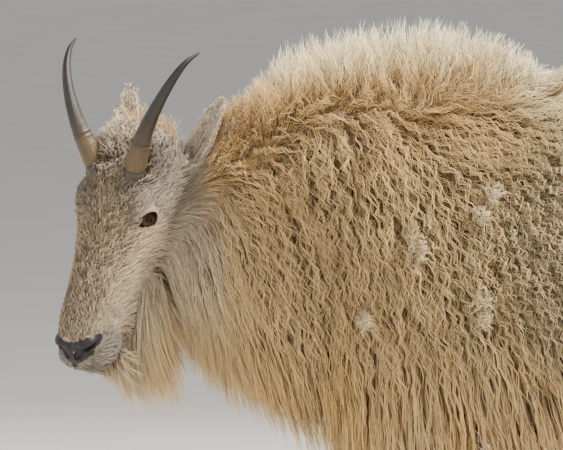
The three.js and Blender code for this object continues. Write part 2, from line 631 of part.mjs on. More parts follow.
const headPlane = [vec(0, -488, 790), vec(-0.45, 0.89, -0.05)];
const neckPlane = [vec(0, -318, 750), vec(0, 0.944, -0.33)];
const tailPlane = [vec(0, rumpEnd - 2, 780), vec(0, 0.97, 0.1)];
const foreBox = [[1, -350, -50], [190, -50, 436]];
const hindBox = [[1, 250, -50], [200, 720, 452]];
const legShape = (leg, grow) => union([
  solid(new Loft(legStations(leg), { side: vec(1, 0, 0), share: coreShare, grow }).geometry(10, 12)),
  ...legLocks[leg.name].map((make) => make(grow)),
]);
const handed = ([low, high], hand) => hand > 0 ? [low, high]
  : [[-high[0], low[1], low[2]], [-low[0], high[1], high[2]]];

const goat = new THREE.Group();
goat.name = "mountain_goat";
const body = new THREE.Group();
body.add(headFrame);
goat.add(body);

const finish = (color, roughness) => new THREE.MeshStandardMaterial({ color, roughness, metalness: 0 });
const coatFinish = finish(0xe6dac0, 0.95);
const faceFinish = finish(0xd9cdb8, 0.9);
const hornFinish = finish(0x3a342c, 0.45);
const hoofFinish = finish(0x2e2a26, 0.6);
const eyeFinish = finish(0x6b3d1c, 0.1);
const earFinish = finish(0xe2d8c8, 0.9);

function addMesh(parent, name, shape, material) {
  const made = shape.isBufferGeometry ? solid(shape) : shape;
  const mesh = new THREE.Mesh(geometryOf(made), material);
  mesh.name = name;
  parent.add(mesh);
  return mesh;
}

// Everything soft is one body first; then what is set into it is cut out, and it is parted
let whole = core().subtract(solid(mouth(), inHead));
for (const { hand } of sides) {
  whole = whole.subtract(solid(nostril(hand), inHead));
  whole = whole.subtract(solid(hornLoft(hand, seam).geometry(hornSides, hornRings), inHead));
  const ear = solid(earGeometry(hand)).add(solid(earStalk(hand)));
  addMesh(headFrame, "ear_" + (hand > 0 ? "left" : "right"), largest(ear), earFinish);
  whole = whole.subtract(solid(earStalk(hand, seam), inHead)).subtract(solid(earGeometry(hand, seam), inHead));
  addMesh(headFrame, "eye_" + (hand > 0 ? "left" : "right"), eyeball(hand, eyeRadius), eyeFinish);
  addMesh(headFrame, "horn_" + (hand > 0 ? "left" : "right"), hornLoft(hand).geometry(hornSides, hornRings), hornFinish);
}

for (const leg of legs) {
  const [low, high] = handed(leg.stations === foreLeg ? foreBox : hindBox, leg.hand);
  let limb = legShape(leg, 0).intersect(boxSolid(low, high, -seam / 2));
  whole = whole.subtract(legShape(leg, seam).intersect(boxSolid(low, high, seam / 2)));
  limb = limb.subtract(boxSolid([-far, -far, -100], [far, far, hoofHeight + seam]));
  for (const toe of [1, -1]) {
    const place = toe === leg.hand ? "outer" : "inner";
    limb = limb.subtract(solid(clawGeometry(leg, toe, seam)));
    addMesh(body, leg.name.replace("leg", "dewclaw") + "_" + place, clawGeometry(leg, toe), hoofFinish);
    const hoof = addMesh(body, leg.name.replace("leg", "hoof") + "_" + place, toeGeometry(), hoofFinish);
    hoof.position.copy(footAt(leg, 0)).add(vec(toe * toeOut, 0, 0));
    hoof.rotation.z = rad(toe * toeSplay);
  }
  addMesh(body, leg.name, largest(limb), coatFinish);
}
const [front, behind] = split(whole, ...neckPlane);
const [head, neckPiece] = split(front, ...headPlane);
const [torso, tailPiece] = split(behind, ...tailPlane);
addMesh(body, "head", largest(head), faceFinish);
addMesh(body, "neck", largest(neckPiece), coatFinish);
addMesh(body, "torso", largest(torso), coatFinish);
addMesh(body, "tail", largest(tailPiece), coatFinish);

body.position.y = backToMiddle;

export default goat;
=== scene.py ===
# A mountain goat nanny at life size: skin, coat, horns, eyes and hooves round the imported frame
# Metres, +Z up. She faces -Y and her left side is +X. The tables are in millimetres.
import math
import bpy
import numpy as np
from mathutils import Matrix, Vector
from mathutils.bvhtree import BVHTree
from mathutils.kdtree import KDTree


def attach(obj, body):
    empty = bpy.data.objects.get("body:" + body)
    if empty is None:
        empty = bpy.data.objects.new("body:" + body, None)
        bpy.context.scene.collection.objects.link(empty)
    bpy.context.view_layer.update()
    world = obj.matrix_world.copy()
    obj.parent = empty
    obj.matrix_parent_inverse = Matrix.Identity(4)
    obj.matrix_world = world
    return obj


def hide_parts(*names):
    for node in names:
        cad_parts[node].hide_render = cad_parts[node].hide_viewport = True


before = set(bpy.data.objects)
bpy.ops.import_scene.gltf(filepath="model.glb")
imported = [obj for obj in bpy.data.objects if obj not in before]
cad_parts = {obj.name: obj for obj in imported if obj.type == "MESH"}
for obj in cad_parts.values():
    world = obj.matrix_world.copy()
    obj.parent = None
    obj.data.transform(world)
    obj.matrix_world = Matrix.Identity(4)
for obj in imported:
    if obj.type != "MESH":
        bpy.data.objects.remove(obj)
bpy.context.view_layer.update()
scene = bpy.context.scene
mm = 0.001
bodyShift = np.array([0.0, 16.0, 0.0])  # puts the middle of the goat over the origin


# Small helpers for arrays of points
def unit(v):
    return v / np.maximum(np.linalg.norm(v, axis=-1, keepdims=True), 1e-9)


def smoothStep(low, high, value):
    f = np.clip((value - low) / (high - low), 0, 1)
    return f * f * (3 - 2 * f)


def spline(points, t):
    points = np.asarray(points, float)
    last = len(points) - 1
    s = np.clip(np.asarray(t, float), 0, 1) * last
    i = np.minimum(s.astype(int), last - 1)
    f = (s - i)[:, None]
    grown = np.vstack([2 * points[0] - points[1], points, 2 * points[-1] - points[-2]])
    a, b, c, d = (grown[i + k] for k in range(4))
    m0, m1 = (c - a) / 2, (d - b) / 2
    return b + m0 * f + (3 * c - 3 * b - 2 * m0 - m1) * f**2 + (2 * b - 2 * c + m0 + m1) * f**3


# A soft random field from -1 to 1, its lumps about size wide
def ripple(points, size, seed, waves=14):
    rng = np.random.default_rng(seed)
    k = unit(rng.normal(size=(waves, 3))) * (2 * np.pi / size) * rng.uniform(0.6, 1.6, (waves, 1))
    turn = rng.uniform(0, 2 * np.pi, waves)
    return np.sin(points @ k.T + turn).sum(1) / math.sqrt(waves)


def toWorld(points):  # from the tables' millimetres to the scene
    return (np.asarray(points, float) + bodyShift) * mm


def fromWorld(points):
    return np.asarray(points, float) / mm - bodyShift


def meshObject(name, vertices, faces, smooth=True):
    mesh = bpy.data.meshes.new(name)
    faces = np.asarray(faces, np.int32)
    corners = faces.shape[1]
    mesh.vertices.add(len(vertices))
    mesh.vertices.foreach_set("co", np.asarray(vertices, np.float32).ravel())
    mesh.loops.add(faces.size)
    mesh.loops.foreach_set("vertex_index", faces.ravel())
    mesh.polygons.add(len(faces))
    mesh.polygons.foreach_set("loop_start", np.arange(len(faces), dtype=np.int32) * corners)
    mesh.polygons.foreach_set("use_smooth", np.full(len(faces), smooth))
    mesh.update(calc_edges=True)
    thing = bpy.data.objects.new(name, mesh)
    scene.collection.objects.link(thing)
    return thing


def withModifiers(thing, *modifiers):  # each modifier is (type, settings); they are applied at once
    for kind, settings in modifiers:
        modifier = thing.modifiers.new(kind.lower(), kind)
        for key, value in settings.items():
            setattr(modifier, key, value)
    graph = bpy.context.evaluated_depsgraph_get()
    made = bpy.data.meshes.new_from_object(thing.evaluated_get(graph))
    thing.modifiers.clear()
    old = thing.data
    thing.data = made
    bpy.data.meshes.remove(old)
    return thing


def vertexRows(mesh, what="co"):  # "co" or "normal", a row for each vertex
    rows = np.empty(len(mesh.vertices) * 3, np.float32)
    mesh.vertices.foreach_get(what, rows)
    return rows.reshape(-1, 3).astype(float)


def joined(name, things):
    for thing in bpy.context.selected_objects:
        thing.select_set(False)
    for thing in things:
        thing.select_set(True)
    bpy.context.view_layer.objects.active = things[0]
    bpy.ops.object.join()
    things[0].name = name
    return things[0]


def discard(*things):
    for thing in things:
        bpy.data.objects.remove(thing)


# Camera and light
view = {"aim": (0, -0.345, 0.742), "away": 12.0, "elevation": 3.0, "lens": 603.5, "sensor": 36,
        "clip": 400}
light = {
    "key": {"place": (0.9, 3.5, 5.6), "size": 1.6, "power": 1400, "colour": (1.0, 0.93, 0.80)},
    "fill": {"place": (5.5, -2.5, 2.2), "size": 5.0, "power": 190, "colour": (1.0, 0.93, 0.84)},
    "front": {"place": (-1.0, -6.0, 2.6), "size": 4.0, "power": 120, "colour": (1.0, 0.96, 0.9)},
    "far": {"place": (-5.5, 1.5, 2.8), "size": 5.0, "power": 160, "colour": (1.0, 0.96, 0.9)},
    "aim": (0, -0.1, 0.6),
    "sky": {"strength": 0.6, "colour": (0.95, 0.96, 1.0)},
    "floor": {"size": 160, "colour": (0.66, 0.64, 0.60)},
}


def makeCamera():
    data = bpy.data.cameras.new("camera")
    data.lens = view["lens"]
    data.sensor_width = view["sensor"]
    data.clip_end = view["clip"]
    camera = bpy.data.objects.new("camera", data)
    rise = math.radians(view["elevation"])
    back = Vector((math.cos(rise), 0, math.sin(rise)))
    camera.location = Vector(view["aim"]) + back * view["away"]
    camera.rotation_euler = back.to_track_quat("Z", "Y").to_euler()
    scene.collection.objects.link(camera)
    scene.camera = camera


def makeLights():
    for name in ("key", "fill", "front", "far"):
        facts = light[name]
        data = bpy.data.lights.new(name, "AREA")
        data.shape = "DISK"
        data.size = facts["size"]
        data.energy = facts["power"]
        data.color = facts["colour"]
        lamp = bpy.data.objects.new(name, data)
        lamp.location = facts["place"]
        aim = Vector(light["aim"]) - lamp.location
        lamp.rotation_euler = aim.to_track_quat("-Z", "Y").to_euler()
        scene.collection.objects.link(lamp)
    world = bpy.data.worlds.new("studio")
    world.use_nodes = True
    sky = world.node_tree.nodes["Background"]
    sky.inputs["Color"].default_value = (*light["sky"]["colour"], 1)
    sky.inputs["Strength"].default_value = light["sky"]["strength"]
    scene.world = world


makeCamera()
makeLights()
print("camera and lights")

# Shape tables, the same named sizes as the solids have
withers, chestDepth, loin, rumpEnd, chestFront = 898, 391, 868, 575, -330
foreLegY, hindLegY, foreTrack, hindTrack = -203, 478, 78, 74
hoofHeight, hipHeight = 40, 680
coreShare = 0.38  # how far into the coat the skin lies, as the solids' core does
headPose = {"place": (45, -570, 808), "yaw": 52, "pitch": 66, "roll": 4}
belly = withers - chestDepth


def trunkStation(y, top, bottom, wide, coat, egg=0.0):
    half = (top - bottom) / 2
    return (0, y, (top + bottom) / 2, wide, half, half, *coat, egg)


trunk = [
    trunkStation(chestFront, withers - 98, belly + 78, 68, (42, 60, 104)),
    trunkStation(chestFront + 42, withers - 26, belly + 38, 104, (46, 112, 96)),
    trunkStation(chestFront + 92, withers - 5, belly + 14, 128, (48, 108, 84), -0.1),
    trunkStation(foreLegY + 28, withers, belly + 2, 139, (48, 106, 74), -0.16),
    trunkStation(foreLegY + 100, withers - 6, belly, 144, (48, 94, 68), -0.16),
    trunkStation(foreLegY + 165, withers - 14, belly - 4, 148, (46, 64, 64), -0.12),
    trunkStation(60, loin + 12, belly - 4, 156, (45, 48, 64), -0.06),
    trunkStation(180, loin, belly + 2, 160, (44, 46, 62)),
    trunkStation(290, loin - 6, belly + 26, 151, (43, 45, 62)),
    trunkStation(390, loin - 14, belly + 70, 134, (42, 44, 58)),
    trunkStation(hindLegY, loin - 38, belly + 116, 114, (42, 44, 52)),
    trunkStation(rumpEnd - 32, loin - 84, belly + 164, 78, (38, 40, 46)),
    trunkStation(rumpEnd, loin - 128, belly + 190, 30, (34, 36, 38)),
]
neck = [
    (-24, -526, 796, 30, 34, 34, 6, 8, 8, -0.4),
    (-28, -486, 778, 52, 68, 74, 18, 36, 70, -0.5),
    (-14, -415, 764, 72, 94, 94, 42, 76, 118, -0.35),
    (-2, -340, 752, 90, 120, 120, 50, 88, 142, -0.15),
    (0, -258, 738, 104, 142, 150, 50, 100, 142, 0),
]
tail = [
    (0, rumpEnd - 30, 790, 22, 20, 20, 12, 12, 10, 0),
    (0, rumpEnd + 2, 782, 20, 18, 16, 16, 18, 12, 0),
    (0, rumpEnd + 22, 752, 16, 14, 12, 18, 18, 14, 0),
    (0, rumpEnd + 27, 712, 11, 9, 8, 15, 13, 12, 0),
    (0, rumpEnd + 24, 672, 3, 3, 3, 5, 5, 5, 0),
]
# Legs from the top down: y, z, lean, half width, back, front, hair
foreLeg = [
    (-12, 670, 0, 40, 66, 70, 26), (8, 575, 8, 37, 54, 56, 42), (5, 480, 9, 35, 42, 42, 50),
    (1, 405, 6, 31, 34, 33, 48), (-2, 350, 2, 28, 29, 31, 30), (-3, 318, 1, 28, 28, 32, 13),
    (-1, 284, 0, 21, 23, 24, 7), (1, 205, 0, 18, 20, 20, 5), (-1, 138, 0, 19, 22, 21, 5),
    (-5, 103, 0, 24, 28, 25, 6), (-13, 72, 0, 22, 23, 24, 5),
    (-22, hoofHeight - 5, 0, 27, 25, 29, 4),
]
hindLeg = [
    (-40, 790, 0, 50, 92, 88, 20), (-70, 690, 10, 56, 100, 90, 36), (-90, 590, 16, 48, 84, 76, 46),
    (-58, 500, 14, 38, 58, 58, 50), (-6, 425, 8, 31, 40, 46, 44), (28, 365, 4, 26, 33, 36, 24),
    (38, 332, 2, 26, 32, 34, 12), (40, 290, 1, 21, 26, 26, 8), (30, 205, 0, 19, 21, 21, 5),
    (21, 138, 0, 20, 22, 22, 5), (17, 103, 0, 24, 28, 25, 6), (8, 72, 0, 22, 23, 24, 5),
    (-3, hoofHeight - 5, 0, 27, 25, 29, 4),
]
legs = {
    "fore_left": (foreLeg, foreLegY, foreTrack, 1, -22),
    "fore_right": (foreLeg, foreLegY, foreTrack, -1, 26),
    "hind_left": (hindLeg, hindLegY, hindTrack, 1, 20),
    "hind_right": (hindLeg, hindLegY, hindTrack, -1, -24),
}


def legStations(leg):
    stations, y, track, hand, stride = leg
    rows = []
    for ahead, z, lean, wide, back, front, hair in stations:
        swing = stride * max(0, 1 - z / hipHeight)
        rows.append((hand * (track + lean), y + ahead + swing, z, wide, back, front,
                     hair, hair * 1.1, hair * 0.9, 0))
    return rows


def headStation(ahead, top, bottom, wide, egg, coat=3):
    half = (top - bottom) / 2
    return (0, -ahead, (top + bottom) / 2, wide, half, half, coat, coat, coat * 1.5, egg)


skull = [
    headStation(246, -43, -52, 11, 0, 1), headStation(240, -36, -58, 20, -0.05, 1),
    headStation(230, -26, -63, 26, -0.1, 1), headStation(214, -14, -67, 30, -0.12, 1),
    headStation(194, -6, -70, 32, -0.12, 1.5), headStation(172, -3.5, -75, 32.5, -0.08, 2),
    headStation(150, -3, -82, 33, 0), headStation(110, -2, -98, 40, 0.12, 4),
    headStation(76, 0, -110, 47, 0.18, 5), headStation(43, 4, -118, 54, 0.2, 6),
    headStation(14, 4, -120, 56, 0.12, 8), headStation(-18, 2, -112, 56, 0.05, 10),
    headStation(-46, -2, -96, 50, 0, 12), headStation(-66, -22, -78, 34, 0, 12),
]
jaw = [
    headStation(238, -52, -66, 9, 0, 1), headStation(229, -48, -76, 18, 0, 1),
    headStation(206, -48, -84, 23, 0, 1), headStation(170, -52, -94, 26, 0, 2),
    headStation(124, -62, -107, 29, 0, 3), headStation(70, -72, -114, 31, 0, 3),
]

turn = [math.radians(headPose[key]) for key in ("yaw", "roll", "pitch")]
headTurn = np.array(Matrix.Rotation(turn[0], 3, "Z") @ Matrix.Rotation(turn[1], 3, "Y")
                    @ Matrix.Rotation(turn[2], 3, "X"))
headPlace = np.array(headPose["place"], float)


def fromHead(points):  # head points are x to her left, y from the nose back, z up through the skull
    return np.asarray(points, float) @ headTurn.T + headPlace


def toHead(points):
    return (np.asarray(points, float) - headPlace) @ headTurn


# A body of oval sections along a curve
class Loft:
    def __init__(self, stations, share=1.0, square=1.0, side=(1, 0, 0)):
        rows = np.array(stations, float)
        self.rows = rows
        self.girth = rows[:, 3:6] + share * rows[:, 6:9]
        self.square = square
        self.side = np.array(side, float)

    def frame(self, t):
        line = self.rows[:, :3]
        along = unit(spline(line, t + 1e-4) - spline(line, t - 1e-4))
        up = unit(np.cross(np.broadcast_to(self.side, along.shape), along))
        return spline(line, t), along, up, np.cross(along, up)

    def surface(self, t, angle):
        centre, along, up, side = self.frame(t)
        girth = spline(self.girth, t)
        egg = spline(self.rows[:, 9:10], t)[:, 0]
        cos, sin = np.cos(angle), np.sin(angle)
        cos = np.sign(cos) * np.abs(cos) ** self.square
        sin = np.sign(sin) * np.abs(sin) ** self.square
        x = cos * girth[:, 0] * (1 + egg * sin)
        z = sin * np.where(sin > 0, girth[:, 1], girth[:, 2])
        return centre + side * x[:, None] + up * z[:, None]

    def grid(self, sides, rings):
        return self.surface(*ringGrid(sides, rings))

    def mesh(self, sides, rings):
        points = self.grid(sides, rings)
        ends = spline(self.rows[:, :3], np.array([0.0, 1.0]))
        points = np.vstack([points, ends])
        return points, ringFaces(sides, rings + 1, len(points) - 2, len(points) - 1)


def ringGrid(sides, rings):  # how far along a loft and how far round it each point is
    t = np.repeat(np.linspace(0, 1, rings + 1), sides)
    return t, np.tile(np.arange(sides) / sides * 2 * np.pi, rings + 1)


# Triangles between rings of points, with a fan at each end
def ringFaces(sides, rings, first, last):
    i, j = np.meshgrid(np.arange(rings - 1), np.arange(sides), indexing="ij")
    a = i * sides + j
    b = i * sides + (j + 1) % sides
    faces = np.stack([a, b, b + sides, a, b + sides, a + sides], -1).reshape(-1, 3)
    j = np.arange(sides)
    k = (j + 1) % sides
    end = (rings - 1) * sides
    caps = [np.stack([k, j, np.full(sides, first)], -1),
            np.stack([end + j, end + k, np.full(sides, last)], -1)]
    return np.vstack([faces, *caps])


def outward(points, faces):  # turns a closed mesh's faces outward
    p = points[faces]
    volume = np.einsum("ij,ij->i", p[:, 0], np.cross(p[:, 1], p[:, 2])).sum()
    return faces if volume > 0 else faces[:, ::-1]


def solidObject(name, points, faces):
    return meshObject(name, toWorld(points), outward(points, faces))


def headObject(name, points, faces):
    return solidObject(name, fromHead(points), faces)


def loftObject(name, loft, sides, rings, make=solidObject):
    return make(name, *loft.mesh(sides, rings))


def blobPoints(place, size, tilt=(0, 0, 0), detail=(32, 20)):
    around, down = detail
    polar = np.linspace(0, np.pi, down + 1)[1:-1]
    angle = np.arange(around) / around * 2 * np.pi
    ring = np.stack([np.outer(np.sin(polar), np.cos(angle)), np.outer(np.sin(polar), np.sin(angle)),
                     np.repeat(np.cos(polar)[:, None], around, 1)], -1).reshape(-1, 3)
    points = np.vstack([ring, [[0, 0, 1], [0, 0, -1]]]) * size
    spin = np.array(Matrix.Rotation(math.radians(tilt[2]), 3, "Z")
                    @ Matrix.Rotation(math.radians(tilt[1]), 3, "Y")
                    @ Matrix.Rotation(math.radians(tilt[0]), 3, "X"))
    points = points @ spin.T + place
    return points, ringFaces(around, down - 1, len(points) - 2, len(points) - 1)


def blobObject(name, *facts):
    return headObject(name, *blobPoints(*facts))


# Skin: one surface from the nose to the tail and down to the hooves
skinFacts = {"bodyVoxel": 7.0, "headVoxel": 1.9, "coatVoxel": 12.0,
             "bodySmooth": 14, "headSmooth": 5, "coatSmooth": 4,
             "headShare": 0.6, "headSquare": 0.92, "trunkSquare": 0.95, "socket": 0.3}
eye = {"place": (44, 42, -24.5), "radius": 17.0, "lid": 2.2, "long": 14.5, "high": 11.0,
       "aim": (0.84, -0.42, 0.26), "slit": (0.36, 0.86, -0.36)}
# On her left side, place, size, tilt: brow, cheekbone, jaw muscle, nostril wing, upper lip
swellings = [
    ((42, -29, -13), (15, 24, 15), (0, 0, -8)),
    ((42, -56, -46), (11, 28, 9), (-14, 0, 8)),
    ((36, -18, -80), (24, 46, 34), (12, 0, 0)),
    ((17, -214, -29), (14, 17, 13), (-34, 0, 20)),
    ((21, -207, -55), (18, 34, 17), (-8, 0, 8)),
]


def eyeFrame(hand):
    out, ahead, up = eye["place"]
    centre = np.array([hand * out, -ahead, up], float)
    aim = unit(np.array(eye["aim"]) * (hand, 1, 1))
    along = np.array(eye["slit"]) * (hand, 1, 1)
    along = unit(along - aim * (along @ aim))
    return centre, aim, along, np.cross(aim, along)


def slitCurve(steps, grow=0.0):  # the almond opening, in the eye's own plane
    a = np.arange(steps) / steps * 2 * np.pi
    x = (eye["long"] + grow) * np.cos(a)
    y = (eye["high"] + grow) * np.sin(a) * np.abs(np.sin(a)) ** 0.15
    return x, y


def slitCutter(hand):
    centre, aim, along, high = eyeFrame(hand)
    steps, depths = 48, (4, 40)
    x, y = slitCurve(steps)
    rings = [centre + aim * depth + along * x[:, None] + high * y[:, None] for depth in depths]
    points = np.vstack([*rings, *[centre + aim * depth for depth in depths]])
    return headObject("slit", points, ringFaces(steps, 2, len(points) - 2, len(points) - 1))


nostrilPath = [(5, 239, -33), (8, 236, -29), (16, 231, -24), (25, 223, -25), (33, 211, -31)]
nostrilRound = (1.5, 4.5, 6, 5.5, 2)


def nostrilCutter(hand):
    rows = [(hand * out, -ahead, up, r, r * 0.7, r * 0.7, 0, 0, 0, 0)
            for (out, ahead, up), r in zip(nostrilPath, nostrilRound)]
    return loftObject("nostril", Loft(rows), 20, 24, headObject)


# Ears: a leaf rolled into a cup, open to the front, on a short stalk
ear = {"root": (53, 42, -60), "long": 102, "halfWidth": 15.5, "thick": 3.4, "stalk": 17,
       "aims": {1: (47, 87, 27), -1: (23, 98, -3)},
       "opens": {1: (-0.15, -0.4, 0.8), -1: (-0.41, -0.3, 0.8)},
       "widths": (0.62, 0.86, 1, 1, 0.94, 0.78, 0.52, 0.2),
       "rolls": (104, 96, 84, 72, 62, 54, 44, 30),
       "clearFrom": 26, "clearRound": 19, "clearBehind": -9}  # where body hair may not hide it


def earAxes(hand):
    flip = np.array([hand, 1, 1])
    along = unit(np.array(ear["aims"][hand], float)) * flip
    opens = np.array(ear["opens"][hand]) * flip
    opens = unit(opens - along * (opens @ along))
    return np.array(ear["root"], float) * flip, along, opens, np.cross(along, opens)


def earObject(hand, rings=30, across=18):
    root, along, opens, side = earAxes(hand)
    f = np.linspace(0, 1, rings + 1)
    share = spline(np.array(ear["widths"])[:, None], f)[:, 0]
    roll = np.radians(spline(np.array(ear["rolls"], float)[:, None], f)[:, 0])
    half = ear["halfWidth"] * share
    r = half / np.sin(np.minimum(roll, np.pi / 2))
    layers = []
    for layer in (1, -1):
        rr = r - layer * ear["thick"] / 2 * (1 - 0.5 * f)
        a = roll[:, None] * np.linspace(-1, 1, across + 1)[None]
        layers.append(root + along * (ear["long"] * f ** 0.92)[:, None, None]
                      + side * (rr[:, None] * np.sin(a))[..., None]
                      + opens * (-rr[:, None] * np.cos(a) + (r * np.cos(roll))[:, None])[..., None])
    # each ring runs out along one layer and back along the other
    loop = np.concatenate([layers[0], layers[1][:, ::-1]], 1)
    sides = loop.shape[1]
    points = np.vstack([loop.reshape(-1, 3), loop[0].mean(0), loop[-1].mean(0)])
    return headObject("ear", points, ringFaces(sides, rings + 1, len(points) - 2, len(points) - 1))


def earStalk(hand):
    root, along, _, _ = earAxes(hand)
    rows = []
    for d, share in ((-22, 0.6), (-12, 0.8), (2, 1), (12, 0.94)):
        r = ear["stalk"] * share
        rows.append((*(root + along * d), r, r, r, 0, 0, 0, 0))
    return loftObject("stalk", Loft(rows), 32, 12, headObject)


def earDistance(local):  # how far a point of the head is from the line up the middle of its own ear
    best = np.full(len(local), 1e9)
    for hand in (1, -1):
        root, along, _, _ = earAxes(hand)
        d = along * ear["long"]
        f = np.clip((local - root) @ d / (d @ d), 0.12, 1)
        best = np.minimum(best, np.linalg.norm(local - root - f[:, None] * d, axis=1))
    return best


def cut(thing, cutter, operation="DIFFERENCE"):
    settings = {"operation": operation, "solver": "MANIFOLD", "object": cutter}
    withModifiers(thing, ("BOOLEAN", settings))
    discard(cutter)


def remeshed(thing, voxel, smooth):
    return withModifiers(
        thing,
        ("REMESH", {"mode": "VOXEL", "voxel_size": voxel * mm, "use_smooth_shade": True}),
        ("SMOOTH", {"factor": 0.5, "iterations": smooth}),
    )


def headLoft(rows):
    return Loft(rows, skinFacts["headShare"], skinFacts["headSquare"])


def makeHead():
    shells = [loftObject("skull", headLoft(skull), 72, 90, headObject),
              loftObject("jaw", headLoft(jaw), 48, 40, headObject)]
    for hand in (1, -1):
        for place, size, tilt in swellings:
            place, tilt = np.array(place) * (hand, 1, 1), np.array(tilt) * (1, 1, hand)
            shells.append(blobObject("swelling", place, size, tilt))
        centre = eyeFrame(hand)[0]
        lid = eye["radius"] + eye["lid"]
        shells.append(blobObject("lids", centre, (lid, lid, lid)))
        shells.append(earStalk(hand))
    head = remeshed(joined("head_skin", shells), skinFacts["headVoxel"], skinFacts["headSmooth"])
    sculptHead(head)
    for hand in (1, -1):
        cut(head, earObject(hand), "UNION")
        cut(head, nostrilCutter(hand))
        cut(head, slitCutter(hand))
        ball = eye["radius"] + skinFacts["socket"]
        cut(head, blobObject("socket", eyeFrame(hand)[0], (ball, ball, ball)))
    return head


# Folds and hollows of the face: place (out, ahead, up), width, push
sculptTouches = [
    ((34, 120, -20), (14, 30, 14), -1.6),  # hollow ahead of the eye
    ((30, 88, -4), (10, 22, 10), -1.0),
    ((38, 150, -62), (12, 26, 10), -1.8),  # hollow of the cheek behind the lip
    ((36, 172, -54), (6, 5, 18), -3.0),  # crease behind the muzzle
    ((34, 203, -50), (10, 14, 14), 1.6),  # round of the muzzle
    ((0, 222, -18), (4, 8, 6), -2.2),  # notch over the nose pad
    ((12, 224, -16), (8, 8, 6), 1.2),  # lobes of the nose pad
    ((46, 62, -30), (9, 13, 5), -1.5),  # fold under the eye
    ((46, 22, -2), (12, 16, 7), 1.4),  # brow
    ((18, 60, 2), (12, 26, 10), -1.2),  # dish of the forehead beside the brow
    ((0, 40, 6), (14, 26, 12), 1.2),
]
lipLine = [(0, 249, -46), (10, 247, -50), (22, 238, -60), (30, 229, -64), (35, 218, -68),
           (38, 206, -70), (38, 194, -71), (36, 180, -70)]
philtrum = [(0, 234, -30), (0, 241, -38), (0, 248, -44)]


def polylineDistance(points, corners):
    best = np.full(len(points), 1e9)
    corners = np.array([(out, -ahead, up) for out, ahead, up in corners], float)
    for a, b in zip(corners[:-1], corners[1:]):
        d = b - a
        f = np.clip((points - a) @ d / (d @ d), 0, 1)
        best = np.minimum(best, np.linalg.norm(points - a - f[:, None] * d, axis=1))
    return best


def mirrored(points):  # folds both sides of the head onto her left
    return points * np.where(points[:, :1] < 0, (-1, 1, 1), (1, 1, 1))


def sculptHead(head):
    co = vertexRows(head.data)
    local = mirrored(toHead(fromWorld(co)))
    push = np.zeros(len(co))
    for (out, ahead, up), size, amount in sculptTouches:
        d = (local - (out, -ahead, up)) / size
        push += amount * np.exp(-0.5 * (d * d).sum(1) * 1.6)
    push -= 3.6 * np.exp(-(polylineDistance(local, lipLine) / 2.0) ** 2)
    push -= 1.8 * np.exp(-(polylineDistance(local, philtrum) / 1.8) ** 2)
    co += vertexRows(head.data, "normal") * (push * mm)[:, None]
    head.data.vertices.foreach_set("co", co.astype(np.float32).ravel())
    head.data.update()


def bodyShell(share, voxel, smooth, name):
    shells = [loftObject("trunk", Loft(trunk, share, skinFacts["trunkSquare"]), 72, 90),
              loftObject("neck", Loft(neck, share), 64, 40),
              loftObject("tail", Loft(tail, share), 32, 30)]
    shells += [loftObject("leg", Loft(legStations(leg), share), 40, 90) for leg in legs.values()]
    if share == 1:
        whole = Loft(skull, share, skinFacts["headSquare"])
        shells.append(loftObject("skull", whole, 48, 60, headObject))
    return remeshed(joined(name, shells), voxel, smooth)


def makeSkin():
    body = bodyShell(coreShare, skinFacts["bodyVoxel"], skinFacts["bodySmooth"], "skin")
    cut(body, makeHead(), "UNION")
    body.data.polygons.foreach_set("use_smooth", np.ones(len(body.data.polygons), bool))
    return body


skin = makeSkin()
print("skin", len(skin.data.polygons), "faces")
coatShell = bodyShell(1.0, skinFacts["coatVoxel"], skinFacts["coatSmooth"], "coat_shell")
skinTree = BVHTree.FromObject(skin, bpy.context.evaluated_depsgraph_get())
coatTree = BVHTree.FromObject(coatShell, bpy.context.evaluated_depsgraph_get())
discard(coatShell)
print("coat envelope")

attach(skin, "root")
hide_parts("torso", "neck", "head", "tail", "ear_left", "ear_right",
            *["leg_" + name for name in legs])

# Colours, linear. The same markings colour the skin and the roots of the coat.
tint = {
    "cream": (0.98, 0.865, 0.58), "tan": (0.52, 0.365, 0.16), "gold": (0.59, 0.385, 0.135),
    "wool": (0.345, 0.265, 0.155), "cheek": (0.54, 0.46, 0.365), "face": (0.42, 0.325, 0.205),
    # the mottle tint is real speckle on the bridge and also painted shade in the crease behind the
    # muzzle
    "mottle_and_shade": (0.13, 0.09, 0.05), "ring": (0.50, 0.42, 0.33), "pad": (0.014, 0.014, 0.017),
    "lip": (0.16, 0.138, 0.12), "ear": (0.34, 0.275, 0.215),
    # the first tint on the next line is painted shade for the face
    "painted_face_shade": (0.19, 0.155, 0.115), "jowl": (0.60, 0.52, 0.40),
}


def mixTo(colour, name, amount):
    return colour + (np.array(tint[name]) - colour) * np.clip(amount, 0, 1)[:, None]


backLine = (860, 893, 905, 898, 885, 872, 862, 856, 800)  # heights of the back, chest to rump
muzzleCrease = [(37, 176, -34), (36, 171, -52), (35, 172, -68)]


